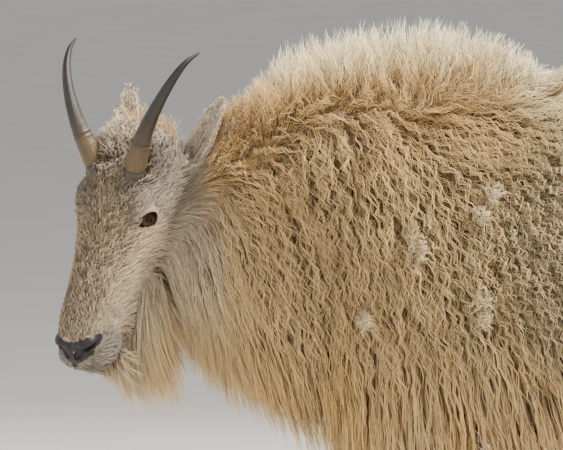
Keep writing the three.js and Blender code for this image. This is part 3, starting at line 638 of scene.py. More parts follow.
def bodyMarks(points):  # pairs of tint and amount, laid over one another in this order
    _, y, z = points.T
    soft, fine = ripple(points, 110, 5), ripple(points, 36, 6)
    top = spline(np.array(backLine)[:, None], (y + 450) / 1050)[:, 0]
    under = top - z  # depth below the line of the back
    front = smoothStep(30, -90, y)
    edge = 105 - 138 * front  # on the crest only the outer hair is cream
    soften = 46 + 90 * (1 - front)
    return [
        ("wool", smoothStep(-200, 20, y + 24 * soft) * smoothStep(520, 620, z)
         * smoothStep(330, 120, y) * 0.85),
        ("gold", smoothStep(600, 500, z + 26 * soft) * 0.7),
        ("gold", smoothStep(160, 90, under) * smoothStep(-300, -400, y) * 0.6),
        ("gold", smoothStep(90, 10, under) * front * 0.45),
        ("cream", smoothStep(edge, edge - soften, under + 12 * fine) * (0.8 + 0.17 * front)),
        ("cream", smoothStep(-40, 260, y + 40 * soft) * 0.34),
        ("cheek", smoothStep(-400, -470, y + 14 * fine) * smoothStep(560, 660, z)
         * smoothStep(800, 740, z) * 0.75),
        ("cream", smoothStep(420, 560, y) * 0.3),
        ("cream", smoothStep(460, 300, z + 30 * soft) * 0.55),
    ]


def headMarks(local):
    folded = mirrored(local)
    out, back, up = folded.T
    ahead = -back
    onEar = smoothStep(29, 23, earDistance(local))
    inFace = smoothStep(-80, -50, ahead) * smoothStep(76, 64, out) * smoothStep(-150, -128, up)
    inFace = inFace * smoothStep(60, 30, up)
    bridge = smoothStep(-58, -26, up) * smoothStep(-20, 20, ahead) * smoothStep(240, 200, ahead)
    dome = (smoothStep(-92, -34, up + 8 * ripple(folded, 26, 14)) * smoothStep(-60, 0, ahead)
            * smoothStep(235, 195, ahead))
    temple = np.linalg.norm((folded - (50, -10, -20)) * (0.9, 1, 1), axis=1)
    temple = temple + 6 * ripple(folded, 22, 15)
    speckle = smoothStep(0.0, 0.9, ripple(folded, 15, 8) + 0.6 * ripple(folded, 6, 9)) * 0.8
    middle = smoothStep(40, 16, out + 7 * ripple(folded, 20, 10)) * smoothStep(210, 150, ahead)
    away = np.linalg.norm((folded - eyeFrame(1)[0]) * (1, 0.9, 1), axis=1)
    muzzle = smoothStep(184, 198, ahead) * smoothStep(-26, -36, up)
    crease = smoothStep(9, 2, polylineDistance(folded, muzzleCrease))
    chin = smoothStep(-68, -84, up) * smoothStep(40, 100, ahead)
    return [
        ("cheek", inFace), ("face", inFace * np.maximum(bridge, dome * 0.8)),
        # painted shade: a darker tint round the temple behind the eye, and a lighter touch of it
        # low on the side of the muzzle
        ("painted_face_shade", inFace * smoothStep(68, 32, temple) * 0.92),
        ("painted_face_shade", inFace * smoothStep(110, 180, ahead) * smoothStep(-60, -30, up) * 0.45),
        ("mottle_and_shade", inFace * bridge * speckle * middle),
        ("ring", inFace * smoothStep(25, 21, away) * 0.16), ("lip", inFace * muzzle * 0.9),
        # painted shade in the crease behind the muzzle
        ("mottle_and_shade", inFace * crease * 0.35), ("jowl", inFace * chin * 0.8), ("cheek", onEar),
        ("ear", onEar * smoothStep(-0.3, 0.8, ripple(folded, 12, 13)) * 0.45),
        ("pad", padMask(local)),
    ]


def markings(points):  # table millimetres to linear colours
    colour = np.tile(np.array(tint["tan"]), (len(points), 1))
    for name, amount in bodyMarks(points) + headMarks(toHead(points)):
        colour = mixTo(colour, name, amount)
    return colour


padLines = [  # the middles of the dark skin's strips and how far each reaches
    ([(0, 227, -21), (8, 228, -18), (16, 225, -17), (25, 217, -22), (33, 207, -30)], 7.0),
    ([(0, 230, -25), (0, 234, -29), (0, 241, -38), (0, 244, -41)], 5.2),
    ([(3, 238, -34), (9, 239, -33), (16, 235, -31), (25, 226, -33)], 4.6),
    (nostrilPath, 6.5),
]


def padMask(local):  # the dark bare skin round the nostrils and down the middle of the lip
    folded = mirrored(local)
    reach = np.minimum.reduce([polylineDistance(folded, line) - far for line, far in padLines])
    return smoothStep(1.0, -1.0, reach + 0.6 * ripple(local, 9, 12))


def paint(thing, name, colours):
    layer = thing.data.attributes.new(name, "FLOAT_COLOR", "POINT")
    rows = np.ones((len(colours), 4), np.float32)
    rows[:, :3] = colours
    layer.data.foreach_set("color", rows.ravel())


def mark(thing, name, values):
    layer = thing.data.attributes.new(name, "FLOAT", "POINT")
    layer.data.foreach_set("value", np.asarray(values, np.float32))


# Materials
def finish(name, sockets):
    material = bpy.data.materials.new(name)
    material.use_nodes = True
    tree = material.node_tree
    shader = tree.nodes["Principled BSDF"]
    for socket, value in sockets.items():
        shader.inputs[socket].default_value = value
    return material, tree, shader


def node(tree, kind, links=(), **settings):  # links are pairs of an input's name and its source
    made = tree.nodes.new(kind)
    for key, value in settings.items():
        if key in made.inputs:
            made.inputs[key].default_value = value
        else:
            setattr(made, key, value)
    for key, source in links:
        tree.links.new(source, made.inputs[key])
    return made


def multiplied(tree, product, *colours):
    for colour in colours:
        made = node(tree, "ShaderNodeMix", data_type="RGBA", blend_type="MULTIPLY")
        factor, first, second = ([s for s in made.inputs if s.name == slot and s.enabled][0]
                                 for slot in ("Factor", "A", "B"))
        factor.default_value = 1.0
        tree.links.new(product, first)
        tree.links.new(colour, second)
        product = [s for s in made.outputs if s.enabled][0]
    return product


def ramp(tree, source, stops):  # a stop is a place and a colour, or one number for a grey
    made = node(tree, "ShaderNodeValToRGB", [("Fac", source)])
    bar = made.color_ramp
    while len(bar.elements) < len(stops):
        bar.elements.new(0.5)
    for element, (place, value) in zip(bar.elements, stops):
        element.position = place
        element.color = (*value, 1) if isinstance(value, tuple) else (value, value, value, 1)
    return made.outputs["Color"]


def noise(tree, place, scale, detail, roughness=0.55):
    return node(tree, "ShaderNodeTexNoise", [("Vector", place)], Scale=scale, Detail=detail,
                Roughness=roughness).outputs["Fac"]


# Gives a shader its colour and, where there is one, its bumpy grain
def wear(tree, shader, colour, grain=None, strength=0.0, distance=0.0):
    tree.links.new(colour, shader.inputs["Base Color"])
    if grain is not None:
        made = node(tree, "ShaderNodeBump", [("Height", grain)],
                    Strength=strength, Distance=distance)
        tree.links.new(made.outputs["Normal"], shader.inputs["Normal"])


def objectPlace(tree):
    return node(tree, "ShaderNodeTexCoord").outputs["Object"]


def stretched(tree, place, scale):
    return node(tree, "ShaderNodeMapping", [("Vector", place)], Scale=scale).outputs["Vector"]


def stored(tree, name, output):
    return node(tree, "ShaderNodeAttribute", attribute_name=name).outputs[output]


def coatFinish(name, rootShade, tipGlow, middle):
    material, tree, shader = finish(name, {"Roughness": 0.82, "Specular IOR Level": 0.25,
                                           "Sheen Weight": 0.25, "Sheen Roughness": 0.5})
    place = objectPlace(tree)
    along = stored(tree, "along", "Fac")
    # painted shade darkens each strand towards its root and painted light brightens it towards its
    # tip
    shade = ramp(tree, along, [(0.0, rootShade), (middle, 1), (1.0, tipGlow)])
    grain = ramp(tree, noise(tree, place, 260, 2), [(0.3, (0.86, 0.84, 0.8)), (0.7, 1.1)])
    colour = multiplied(tree, stored(tree, "tone", "Color"), shade, grain)
    wear(tree, shader, colour, noise(tree, place, 900, 2), 0.25, 0.0006)
    return material


def skinFinish():
    material, tree, shader = finish("short_fur", {"Roughness": 0.85, "Specular IOR Level": 0.25,
                                                  "Sheen Weight": 0.04})
    place = objectPlace(tree)
    grain = ramp(tree, noise(tree, place, 420, 4), [(0.3, (0.72, 0.7, 0.66)), (0.7, 1.12)])
    colour = multiplied(tree, stored(tree, "tone", "Color"), grain)
    dry = ramp(tree, stored(tree, "wet", "Fac"), [(0.0, 0.88), (1.0, 0.38)])
    tree.links.new(dry, shader.inputs["Roughness"])
    wear(tree, shader, colour, noise(tree, place, 520, 5, 0.65), 0.5, 0.0012)
    return material


def floorFinish():
    material, tree, shader = finish("pale_floor", {"Roughness": 0.9})
    dark, pale = (tuple(share * v for v in light["floor"]["colour"]) for share in (0.97, 1.03))
    fleck = noise(tree, objectPlace(tree), 3.0, 4)
    wear(tree, shader, ramp(tree, fleck, [(0.3, dark), (0.7, pale)]))
    return material


skinPoints = fromWorld(vertexRows(skin.data))
paint(skin, "tone", markings(skinPoints))
mark(skin, "wet", padMask(toHead(skinPoints)))
skin.data.materials.clear()
skin.data.materials.append(skinFinish())
print("skin painted")

# Coat styles, lengths in millimetres. rise is how far a tip goes through the coat and hang how far
# it falls free of the body. wave is the swing of a lock, pitch the length of a wave, gather how
# tight the tips draw together, flat a strand's thickness against its width. spacing parts the locks
# and spread their hairs, which have joints segments. still above about 0.35 makes a lock stand
# upright. deep is the coat's depth where the body's own does not tell it, mixed how unlike the
# tones of the hairs are and reach how far a row of the comb tells.
styleKeys = ("length", "rise", "hang", "wave", "pitch", "gather", "width", "flat", "spacing",
             "spread", "hairs", "joints", "still", "deep", "mixed", "reach")
styleRows = {
    "crest": (150, 1, 0, 4.2, 30, 0.65, 1.6, 0.6, 9.6, 7, 5, 6, 0.9, 0, 0.3, 34),
    "mane": (110, 1, 0, 4.2, 34, 0.5, 1.7, 0.6, 7.6, 4.6, 3, 6, 0.75, 0, 0.16, 34),
    "fringe": (84, 0.95, 0.2, 5.2, 25, 0.9, 2, 0.7, 10.5, 4.2, 4, 7, 0.1, 0, 0.2, 30),
    "lock": (96, 0.88, 0.2, 4.8, 29, 0.92, 2.2, 0.6, 12, 4.8, 4, 8, 0.1, 0, 0.2, 62),
    "wool": (46, 0.8, 0.05, 4, 14, 0.9, 2.6, 0.7, 11, 4.6, 3, 7, 0.1, 0, 0.2, 62),
    "long": (150, 0.9, 0.8, 2.4, 64, 0.85, 2.5, 0.5, 15, 6.2, 4, 5, 0.1, 0, 0.18, 62),
    "smooth": (74, 0.85, 0.4, 1.8, 44, 0.5, 1.8, 0.45, 9.5, 4.6, 4, 5, 0.1, 0, 0.15, 44),
    "throat": (135, 1, 0.95, 1.8, 70, 0.5, 1.7, 0.5, 9.5, 5, 5, 5, 0.1, 0, 0.15, 40),
    "rump": (84, 0.85, 0.15, 3.6, 34, 0.8, 2.9, 0.6, 17.5, 8, 5, 5, 0.1, 0, 0.12, 62),
    "leg": (48, 0.75, 0.5, 1.6, 34, 0.4, 2.8, 0.5, 13.2, 7, 4, 3, 0.1, 0, 0.08, 62),
    "short": (17, 0.6, 0, 0.5, 18, 0.3, 2.6, 0.4, 11, 5.4, 3, 3, 0.1, 4, 0.05, 60),
    "poll": (25, 1, 0, 3.4, 11, 0.75, 2.1, 0.7, 5.2, 3.2, 3, 6, 0.1, 17, 0.16, 20),
    "curl": (13, 0.9, 0, 1.8, 8, 0.7, 1.7, 0.6, 4, 1.8, 2, 4, 0.1, 5.5, 0.24, 22),
    "face": (12, 0.7, 0, 0.6, 9, 0.3, 1.3, 0.45, 3.9, 2, 2, 3, 0.1, 3.2, 0.16, 24),
    "cheek": (54, 1, 0.35, 1.2, 26, 0.35, 1.3, 0.45, 5.6, 3, 3, 5, 0.1, 13, 0.16, 24),
    "beard": (112, 0.8, 1, 1.5, 60, 0.45, 1.5, 0.5, 6.2, 2.6, 4, 5, 0.1, 20, 0.12, 20),
    "tuft": (30, 1, 0, 3.2, 13, 0.4, 1.5, 0.7, 9, 3.6, 4, 7, 0.1, 0, 0.1, 62),
    "ear": (10, 0.8, 0, 0.9, 11, 0.3, 1.6, 0.5, 5, 2, 2, 3, 0.1, 3.2, 0.18, 12),
}
styles = {name: dict(zip(styleKeys, row)) for name, row in styleRows.items()}
styleNames = list(styles)

# The comb: for a style, places and which way the hair lies there. The right side mirrors the left.
comb = [
    ("mane", [
        (0, -505, 850, 0, -0.35, 0.94), (30, -470, 850, 0.1, -0.3, 0.95),
        (10, -478, 860, -0.1, -0.45, 0.9), (20, -440, 885, 0.05, -0.2, 0.98),
    ]),
    ("crest", [
        (14, -390, 925, 0.05, -0.1, 1), (20, -330, 955, 0.08, -0.05, 1),
        (20, -270, 965, 0.1, 0, 1), (22, -200, 970, 0.1, 0.05, 1), (22, -130, 965, 0.1, 0.12, 1),
        (22, -80, 940, 0.1, 0.3, 0.95), (70, -330, 920, 0.25, -0.05, 0.95),
        (70, -250, 930, 0.25, 0.03, 0.95), (70, -170, 930, 0.25, 0.08, 0.95),
        (70, -100, 910, 0.25, 0.3, 0.85), (20, -40, 930, 0.1, 0.6, 0.8),
        (90, -210, 905, 0.3, 0.05, 0.9),
    ]),
    ("mane", [(55, -450, 840, 0.3, -0.05, 0.85), (62, -400, 862, 0.35, 0, 0.85)]),
    ("fringe", [
        (88, -440, 805, 0.3, 0.5, -0.6), (92, -380, 835, 0.3, 0.4, -0.7),
        (104, -310, 858, 0.3, 0.3, -0.8), (108, -240, 868, 0.3, 0.5, -0.6),
        (110, -160, 868, 0.3, 0.9, -0.3), (110, -90, 856, 0.3, 0.95, -0.35),
    ]),
    ("lock", [
        (100, -420, 750, 0.1, 0.55, -0.8), (112, -360, 790, 0.1, 0.4, -0.9),
        (126, -300, 800, 0.1, 0.2, -0.97), (134, -230, 810, 0.1, 0.3, -0.95),
        (140, -170, 800, 0.1, 0.5, -0.85),
    ]),
    ("wool", [(142, -100, 800, 0.1, 0.65, -0.75)]),
    ("lock", [
        (118, -370, 700, 0.05, 0.25, -0.96), (134, -290, 710, 0.05, 0.2, -0.97),
        (144, -220, 700, 0.05, 0.2, -0.97), (148, -160, 690, 0.05, 0.35, -0.93),
    ]),
    ("wool", [
        (152, -90, 720, 0.05, 0.5, -0.85), (156, -20, 780, 0.05, 0.65, -0.75),
        (162, 40, 700, 0.05, 0.5, -0.85), (156, -60, 650, 0.05, 0.45, -0.88),
        (120, 0, 850, 0.2, 0.85, -0.45), (60, 10, 895, 0.3, 0.95, -0.1), (10, 20, 905, 0, 1, 0.1),
        (160, 160, 740, 0, 0.6, -0.8),
    ]),
    ("rump", [
        (60, 160, 880, 0.3, 0.95, -0.2), (8, 160, 885, 0, 1, 0.05),
        (60, 320, 870, 0.3, 0.95, -0.2), (8, 320, 875, 0, 1, 0), (150, 260, 720, 0, 0.55, -0.83),
        (130, 420, 720, 0, 0.6, -0.8), (70, 470, 840, 0.2, 0.9, -0.4),
        (40, 560, 780, 0.1, 0.6, -0.8), (90, 530, 660, 0.1, 0.35, -0.93),
        (120, 400, 600, 0, 0.3, -0.95), (0, 590, 720, 0, 0.25, -0.97),
        (50, 560, 640, -0.1, 0.2, -0.97),
    ]),
    ("long", [
        (90, -400, 610, 0, 0.12, -0.99), (60, -430, 600, 0, 0.1, -0.99),
        (120, -310, 590, 0, 0.1, -0.99), (80, -340, 530, 0, 0.06, -0.99),
        (138, -220, 560, 0, 0.1, -0.99), (140, -150, 560, 0, 0.15, -0.98),
        (146, -60, 560, 0, 0.3, -0.95), (140, 40, 560, 0, 0.3, -0.95),
        (140, 160, 570, 0, 0.3, -0.95), (130, 280, 590, 0, 0.3, -0.95),
        (0, -300, 520, 0, 0.1, -0.98), (0, -100, 480, 0, 0.2, -0.98),
        (60, 60, 480, 0.1, 0.2, -0.97), (0, 220, 500, 0, 0.2, -0.98),
        (60, 330, 540, 0.1, 0.2, -0.97), (0, -400, 590, 0, 0.05, -0.99),
    ]),
    ("smooth", [
        (88, -466, 750, 0.15, 0.5, -0.85), (90, -450, 690, 0.1, 0.3, -0.94),
        (110, -400, 660, 0.05, 0.25, -0.96), (70, -486, 790, 0.2, 0.5, -0.7),
    ]),
    ("throat", [
        (60, -480, 670, 0.1, 0.15, -0.98), (20, -490, 640, 0, 0.12, -0.98),
        (50, -505, 700, 0.05, 0.1, -0.98), (0, -508, 680, 0, 0.1, -0.98),
        (-60, -490, 680, 0, 0.1, -0.98), (0, -460, 620, 0, 0.1, -0.98),
        (-40, -450, 630, 0, 0.1, -0.98),
    ]),
    ("leg", [
        (120, -205, 470, 0.05, 0.1, -0.99), (60, -205, 430, -0.05, 0.1, -0.99),
        (84, -205, 350, 0, 0.1, -0.99), (90, 470, 430, 0, 0.15, -0.98),
        (100, 430, 520, 0, 0.2, -0.97), (84, 520, 350, 0, 0.15, -0.98),
    ]),
    ("short", [
        (84, -205, 230, 0, 0, -1), (84, -205, 110, 0, 0, -1), (84, 515, 230, 0, 0, -1),
        (84, 500, 110, 0, 0, -1), (84, -205, 290, 0, 0, -1), (84, 515, 290, 0, 0, -1),
    ]),
]
# The same in the head's frame: out, ahead, up, and the way it lies (out, ahead, up)
headComb = [
    ("curl", [
        (10, 200, -6, 0.1, -0.9, 0.2), (10, 150, 0, 0.3, -0.9, 0.1), (12, 100, 2, 0.5, -0.8, 0.1),
        (12, 60, 4, 0.5, -0.8, 0.1), (34, 60, 2, 0.7, -0.7, 0), (10, 30, 6, 0.5, -0.8, 0.3),
        (30, 110, -12, 0.5, -0.8, -0.2),
    ]),
    ("face", [
        (44, 90, -40, 0.2, -0.9, -0.35), (36, 140, -40, 0.2, -0.9, -0.3),
        (32, 190, -40, 0.2, -0.9, -0.3), (30, 215, -60, 0.2, -0.7, -0.6),
        (10, 240, -50, 0.5, -0.3, -0.7), (54, 40, -50, 0.2, -0.9, -0.5),
        (52, 10, -30, 0.2, -0.95, -0.3), (36, 150, -66, 0.2, -0.75, -0.65),
        (52, 34, 2, 0.6, -0.7, 0.3),
    ]),
    ("cheek", [(54, -4, -66, 0.2, -0.8, -0.65), (46, 60, -78, 0.15, -0.5, -0.85)]),
    ("beard", [(50, 20, -100, 0.1, -0.6, -0.8)]),
    ("cheek", [(50, -30, -80, 0.1, -0.9, -0.5)]),
    ("beard", [(40, 60, -105, 0.1, -0.5, -0.85)]),
    ("cheek", [(46, -60, -60, 0.3, -0.95, -0.2)]),
    ("beard", [(38, 110, -86, 0.1, -0.55, -0.8)]),
    ("cheek", [(54, -30, -30, 0.2, -0.95, -0.2)]),
    ("poll", [
        (0, 0, 6, 0.2, 0.3, 0.9), (12, -20, 4, 0.3, -0.4, 0.8), (46, -14, 0, 0.7, -0.5, 0.5),
        (0, -50, 0, 0, -0.7, 0.7), (40, -40, -8, 0.5, -0.6, 0.5), (0, -24, 6, 0, -0.4, 0.9),
    ]),
    ("beard", [
        (0, 205, -84, 0, 0, -1), (0, 232, -74, 0, 0, -1), (16, 180, -92, 0, 0, -1),
        (0, 160, -100, 0, 0, -1), (22, 140, -104, 0, 0, -1), (0, 115, -112, 0, 0, -1),
        (24, 210, -76, 0, 0, -1), (28, 110, -108, 0, 0, -1), (0, 70, -116, 0, 0, -1),
        (26, 70, -114, 0, 0, -1), (54, 0, -90, 0, 0, -1), (50, 44, -94, 0, 0, -1),
    ]),
]
beardWay = (0, 0.34, -0.94)  # beard hair falls, whatever the head does
for hand in (1, -1):  # hair runs out along the ears
    root, along, opens, _ = (v * (hand, 1, 1) for v in earAxes(hand))
    spots = [root + along * step + opens * lift
             for step in (12, 34, 56, 78, 98) for lift in (4, -12)]
    headComb.append(("ear", [(*(spot * (1, -1, 1)), *(along * (1, -1, 1))) for spot in spots]))


def isStyle(kinds, *names):
    return np.isin(kinds, [styleNames.index(name) for name in names])


def combRows():
    places, ways, kinds = [], [], []
    for table, onHead in ((comb, False), (headComb, True)):
        for kind, rows in table:
            for x, y, z, *way in rows:
                for hand in ((1, -1) if x else (1,)):
                    flip = (hand, -1, 1) if onHead else (hand, 1, 1)
                    place, lie = np.array((x, y, z)) * flip, np.array(way) * flip
                    if onHead:
                        place = fromHead(place)
                        lie = beardWay if kind == "beard" else headTurn @ lie
                    places.append(place)
                    ways.append(lie)
                    kinds.append(styleNames.index(kind))
    reaches = np.array([styles[styleNames[kind]]["reach"] for kind in kinds], float)
    return np.array(places, float), unit(np.array(ways, float)), np.array(kinds), reaches


combPlaces, combWays, combKinds, combReach = combRows()


def combed(points):  # the way the hair lies and the share of each style at points
    ways = np.empty((len(points), 3))
    shares = np.zeros((len(points), len(styleNames)))
    for start in range(0, len(points), 20000):  # in batches, to spare memory
        part = slice(start, start + 20000)
        gap = ((points[part, None] - combPlaces[None]) ** 2).sum(-1)
        weight = np.exp(-0.5 * gap / combReach**2) / combReach + 1e-12 / (gap + 1)
        weight /= weight.sum(1, keepdims=True)
        ways[part] = weight**2 @ combWays
        for kind in range(len(styleNames)):
            shares[part, kind] = weight[:, combKinds == kind].sum(1)
    onEar = smoothStep(30, 25, earDistance(toHead(points)))[:, None]
    earOnly = isStyle(np.arange(len(styleNames)), "ear").astype(float)
    return unit(ways), shares * (1 - onEar) + earOnly * onEar


# Roots: spread over the skin, one to a cell of each style's spacing
coatFacts = {"seed": 23, "tries": 420000, "quickTries": 160000, "headTries": 7.0,
             "pieceTriangles": 190000, "patch": 0.003}
nearSide = {"until": 40, "finer": 0.9, "other": 1.7}  # the left side before y = 40 is the finest
# How far the hair keeps from the pad, the eye, the foot of the horn, the mouth and the hooves
clear = {"pad": 0.3, "slit": 2.4, "ball": 6, "horn": (27, 0, -3), "hornRound": 15.5, "lip": 2.4,
         "nostril": 9, "hoof": 2}


def skinSamples(count, rng):
    mesh = skin.data
    mesh.calc_loop_triangles()
    tris = np.empty(len(mesh.loop_triangles) * 3, np.int32)
    mesh.loop_triangles.foreach_get("vertices", tris)
    tris = tris.reshape(-1, 3)
    co, normals = vertexRows(mesh), vertexRows(mesh, "normal")
    p = co[tris]
    area = np.linalg.norm(np.cross(p[:, 1] - p[:, 0], p[:, 2] - p[:, 0]), axis=1)
    x, y, z = toHead(fromWorld(p.mean(1))).T
    inHead = (np.abs(x) < 90) & (y > -270) & (y < 60) & (z > -130)
    weight = area * np.where(inHead, coatFacts["headTries"], 1.0)
    pick = rng.choice(len(tris), count, p=weight / weight.sum())
    u, v = rng.random(count), rng.random(count)
    flip = u + v > 1
    u[flip], v[flip] = 1 - u[flip], 1 - v[flip]
    w = np.stack([1 - u - v, u, v], 1)[:, :, None]
    return (co[tris[pick]] * w).sum(1), unit((normals[tris[pick]] * w).sum(1))


def thinned(points, spacing, rng):  # keeps one point in each cell, named by a hash of three primes
    cells = np.floor(points / spacing[:, None] + 0.5).astype(np.int64)
    cells = cells * (73856093, 19349663, 83492791)
    key = cells[:, 0] ^ cells[:, 1] ^ cells[:, 2] ^ (spacing * 64).astype(np.int64)
    order = rng.permutation(len(points))
    _, first = np.unique(key[order], return_index=True)
    return np.sort(order[first])


def coarseness(points, normals):
    seen = (points[:, 0] > -30) & (points[:, 1] < nearSide["until"]) & (normals[:, 0] > -0.35)
    return np.where(seen | (points[:, 1] < -470), nearSide["finer"], nearSide["other"])


def spacingAt(points, normals, kinds):
    base = np.array([styles[name]["spacing"] for name in styleNames])[kinds]
    return np.round(base * coarseness(points, normals) * 8) / 8


def bareMask(points):
    local = toHead(points)
    folded = mirrored(local)
    bare = padMask(local) > clear["pad"]
    for hand in (1, -1):
        centre, aim, along, high = eyeFrame(hand)
        d = local - centre
        bare |= ((np.abs(d @ along) < eye["long"] + clear["slit"]) & (d @ aim > 0)
                 & (np.abs(d @ high) < eye["high"] + clear["slit"])
                 & (np.linalg.norm(d, axis=1) < eye["radius"] + clear["ball"]))
        foot = np.array(clear["horn"]) * (hand, 1, 1)
        bare |= np.linalg.norm(local - foot, axis=1) < clear["hornRound"]
    bare |= polylineDistance(folded, lipLine) < clear["lip"]
    bare |= polylineDistance(folded, nostrilPath) < clear["nostril"]
    return bare | (points[:, 2] < hoofHeight + clear["hoof"])


rng = np.random.default_rng(coatFacts["seed"])
tries = coatFacts["tries"]
rootPoints, rootNormals = skinSamples(tries, rng)
rootPoints = fromWorld(rootPoints)
keep = ~bareMask(rootPoints)
rootPoints, rootNormals = rootPoints[keep], rootNormals[keep]
rootWays, rootShares = combed(rootPoints)
rootKinds = rootShares.argmax(1)
keep = thinned(rootPoints, spacingAt(rootPoints, rootNormals, rootKinds), rng)
rootPoints, rootNormals, rootWays, rootShares, rootKinds = (
    rows[keep] for rows in (rootPoints, rootNormals, rootWays, rootShares, rootKinds))
print("roots", {name: int((rootKinds == i).sum()) for i, name in enumerate(styleNames)})


def styleValue(key, shares):  # blends neighbouring styles, so that the coat changes gradually
    sharp = shares**2
    values = np.array([styles[name][key] for name in styleNames], float)
    return (sharp @ values) / sharp.sum(1)


def nearest(tree, points):
    hits = [tree.find_nearest(p)[:2] for p in points * mm + bodyShift * mm]
    place, normal = np.array([[tuple(q), tuple(n)] for q, n in hits]).transpose(1, 0, 2)
    return fromWorld(place), normal


guideSteps = 9  # from root to tip of a lock's path
# buried is how deep a root starts, depths the least and most depth of the coat, above how far a
# path keeps off the skin, over how far it may pass the coat's surface, more if it hangs or stands
growth = {"buried": 2.0, "depths": (3.5, 150), "reaches": (15, 150), "above": 2.5, "over": 6,
          "hangOver": 45, "standOver": 30}


def reachOut(points, ways):  # how far the coat's surface is from the skin along ways
    far = np.empty(len(points))
    for i, (p, d) in enumerate(zip(points * mm + bodyShift * mm, ways)):
        hit = coatTree.ray_cast(p, d, 0.2)
        far[i] = 60 if hit[3] is None else hit[3] / mm
    return np.clip(far, *growth["reaches"])


# Each lock's path from root to tip, and the way out from the skin along it
def grow(points, normals, ways, length, rise, hang, still, deep, fall):
    path = [points - normals * growth["buried"]]
    outs = [normals]
    shell, shellNormal = nearest(coatTree, points)
    depth = np.maximum(((shell - points) * normals).sum(1),
                       np.linalg.norm(shell - points, axis=1) * 0.8)
    depth = np.clip(depth, *growth["depths"])
    own = np.clip(deep / 3, 0, 1)  # 1 where the style gives the depth of the coat
    depth = depth * (1 - own) + deep * own
    full = np.minimum(depth * rise, length * 0.97)
    upright = smoothStep(0.35, 0.6, still)
    stand = unit(ways + 0.3 * normals)
    length = length * (1 - upright) + reachOut(points, stand) * rise * upright
    full = np.minimum(full, length * 0.97) * (1 - upright) + 0.8 * length * upright
    travel = np.sqrt(np.maximum(length**2 - full**2, (0.25 * length) ** 2))
    pos = points.copy()
    normal = normals.copy()
    for k in range(1, guideSteps + 1):
        s = k / guideSteps
        flat = unit(ways - normal * ((ways * normal).sum(1) * (1 - upright))[:, None])
        height = full * (1 - (1 - s) ** 1.7)
        lift = full * 1.7 * (1 - s) ** 0.7
        step = flat * travel[:, None] + normal * lift[:, None]
        droop = hang * (s * 1.4 + 0.6 * smoothStep(0.85, 1, hang))
        step = step / np.maximum(length, 1)[:, None] * (1 - 0.5 * droop)[:, None]
        step = unit(step + fall * droop[:, None])
        free = pos + step * (length / guideSteps)[:, None]
        skinAt, normalAt = nearest(skinTree, free)
        surface = skinAt + normalAt * height[:, None]
        normal = unit(normal * 0.45 + normalAt * 0.55)
        loose = np.clip(smoothStep(0.05, 0.55, hang) + upright, 0, 1)[:, None]
        pos = free * loose + surface * (1 - loose)
        low = np.minimum(growth["above"], height) - ((pos - skinAt) * normalAt).sum(1)
        pos = pos + normalAt * np.maximum(low, 0)[:, None]
        shell, shellNormal = nearest(coatTree, pos)
        over = (((pos - shell) * shellNormal).sum(1) - growth["over"] - growth["hangOver"] * hang
                - growth["standOver"] * upright - 300 * own)
        pos = pos - shellNormal * np.clip(over, 0, 60)[:, None]
        path.append(pos)
        outs.append(normal)
    path, outs = np.stack(path, 1), np.stack(outs, 1)
    for _ in range(2):
        path[:, 1:-1] = path[:, 1:-1] * 0.5 + (path[:, :-2] + path[:, 2:]) * 0.25
    return path, outs


# OFBake: each strand's patch lies at its root's place on an unwrap of the skin by body part
charts = {
    "trunk": (Loft(trunk, coreShare, skinFacts["trunkSquare"]), (0.01, 0.01, 0.48, 0.48)),
    "neck": (Loft(neck, coreShare), (0.51, 0.01, 0.24, 0.3)),
    "skull": (headLoft(skull), (0.51, 0.33, 0.48, 0.3)),
    "tail": (Loft(tail, coreShare), (0.78, 0.01, 0.2, 0.14)),
}
for i, (name, leg) in enumerate(legs.items()):
    charts[name] = (Loft(legStations(leg), coreShare), (0.01 + 0.245 * i, 0.66, 0.23, 0.32))


def bakePlaces(points):
    t, angle = ringGrid(48, 60)
    cloud, spots = [], []
    for name, (loft, (u, v, wide, high)) in charts.items():
        grid = loft.surface(t, angle)
        cloud.append(fromHead(grid) if name == "skull" else grid)
        spots.append(np.stack([u + wide * angle / (2 * np.pi), v + high * t], 1))
    cloud, spots = np.vstack(cloud), np.vstack(spots)
    tree = KDTree(len(cloud))
    for i, p in enumerate(cloud):
        tree.insert(p, i)
    tree.balance()
    return np.array([spots[tree.find(p)[1]] for p in points])


# Strands: closed, three-sided, tapered, several to a lock
def strandFaces(joints):
    faces = [(0, 2, 1)]
    for k in range(joints - 1):
        for j in range(3):
            a, b = 3 * k + j, 3 * k + (j + 1) % 3
            faces += [(a, b, b + 3), (a, b + 3, a + 3)]
    last = 3 * (joints - 1)
    faces += [(last + j, last + (j + 1) % 3, last + 3) for j in range(3)]
    return np.array(faces)


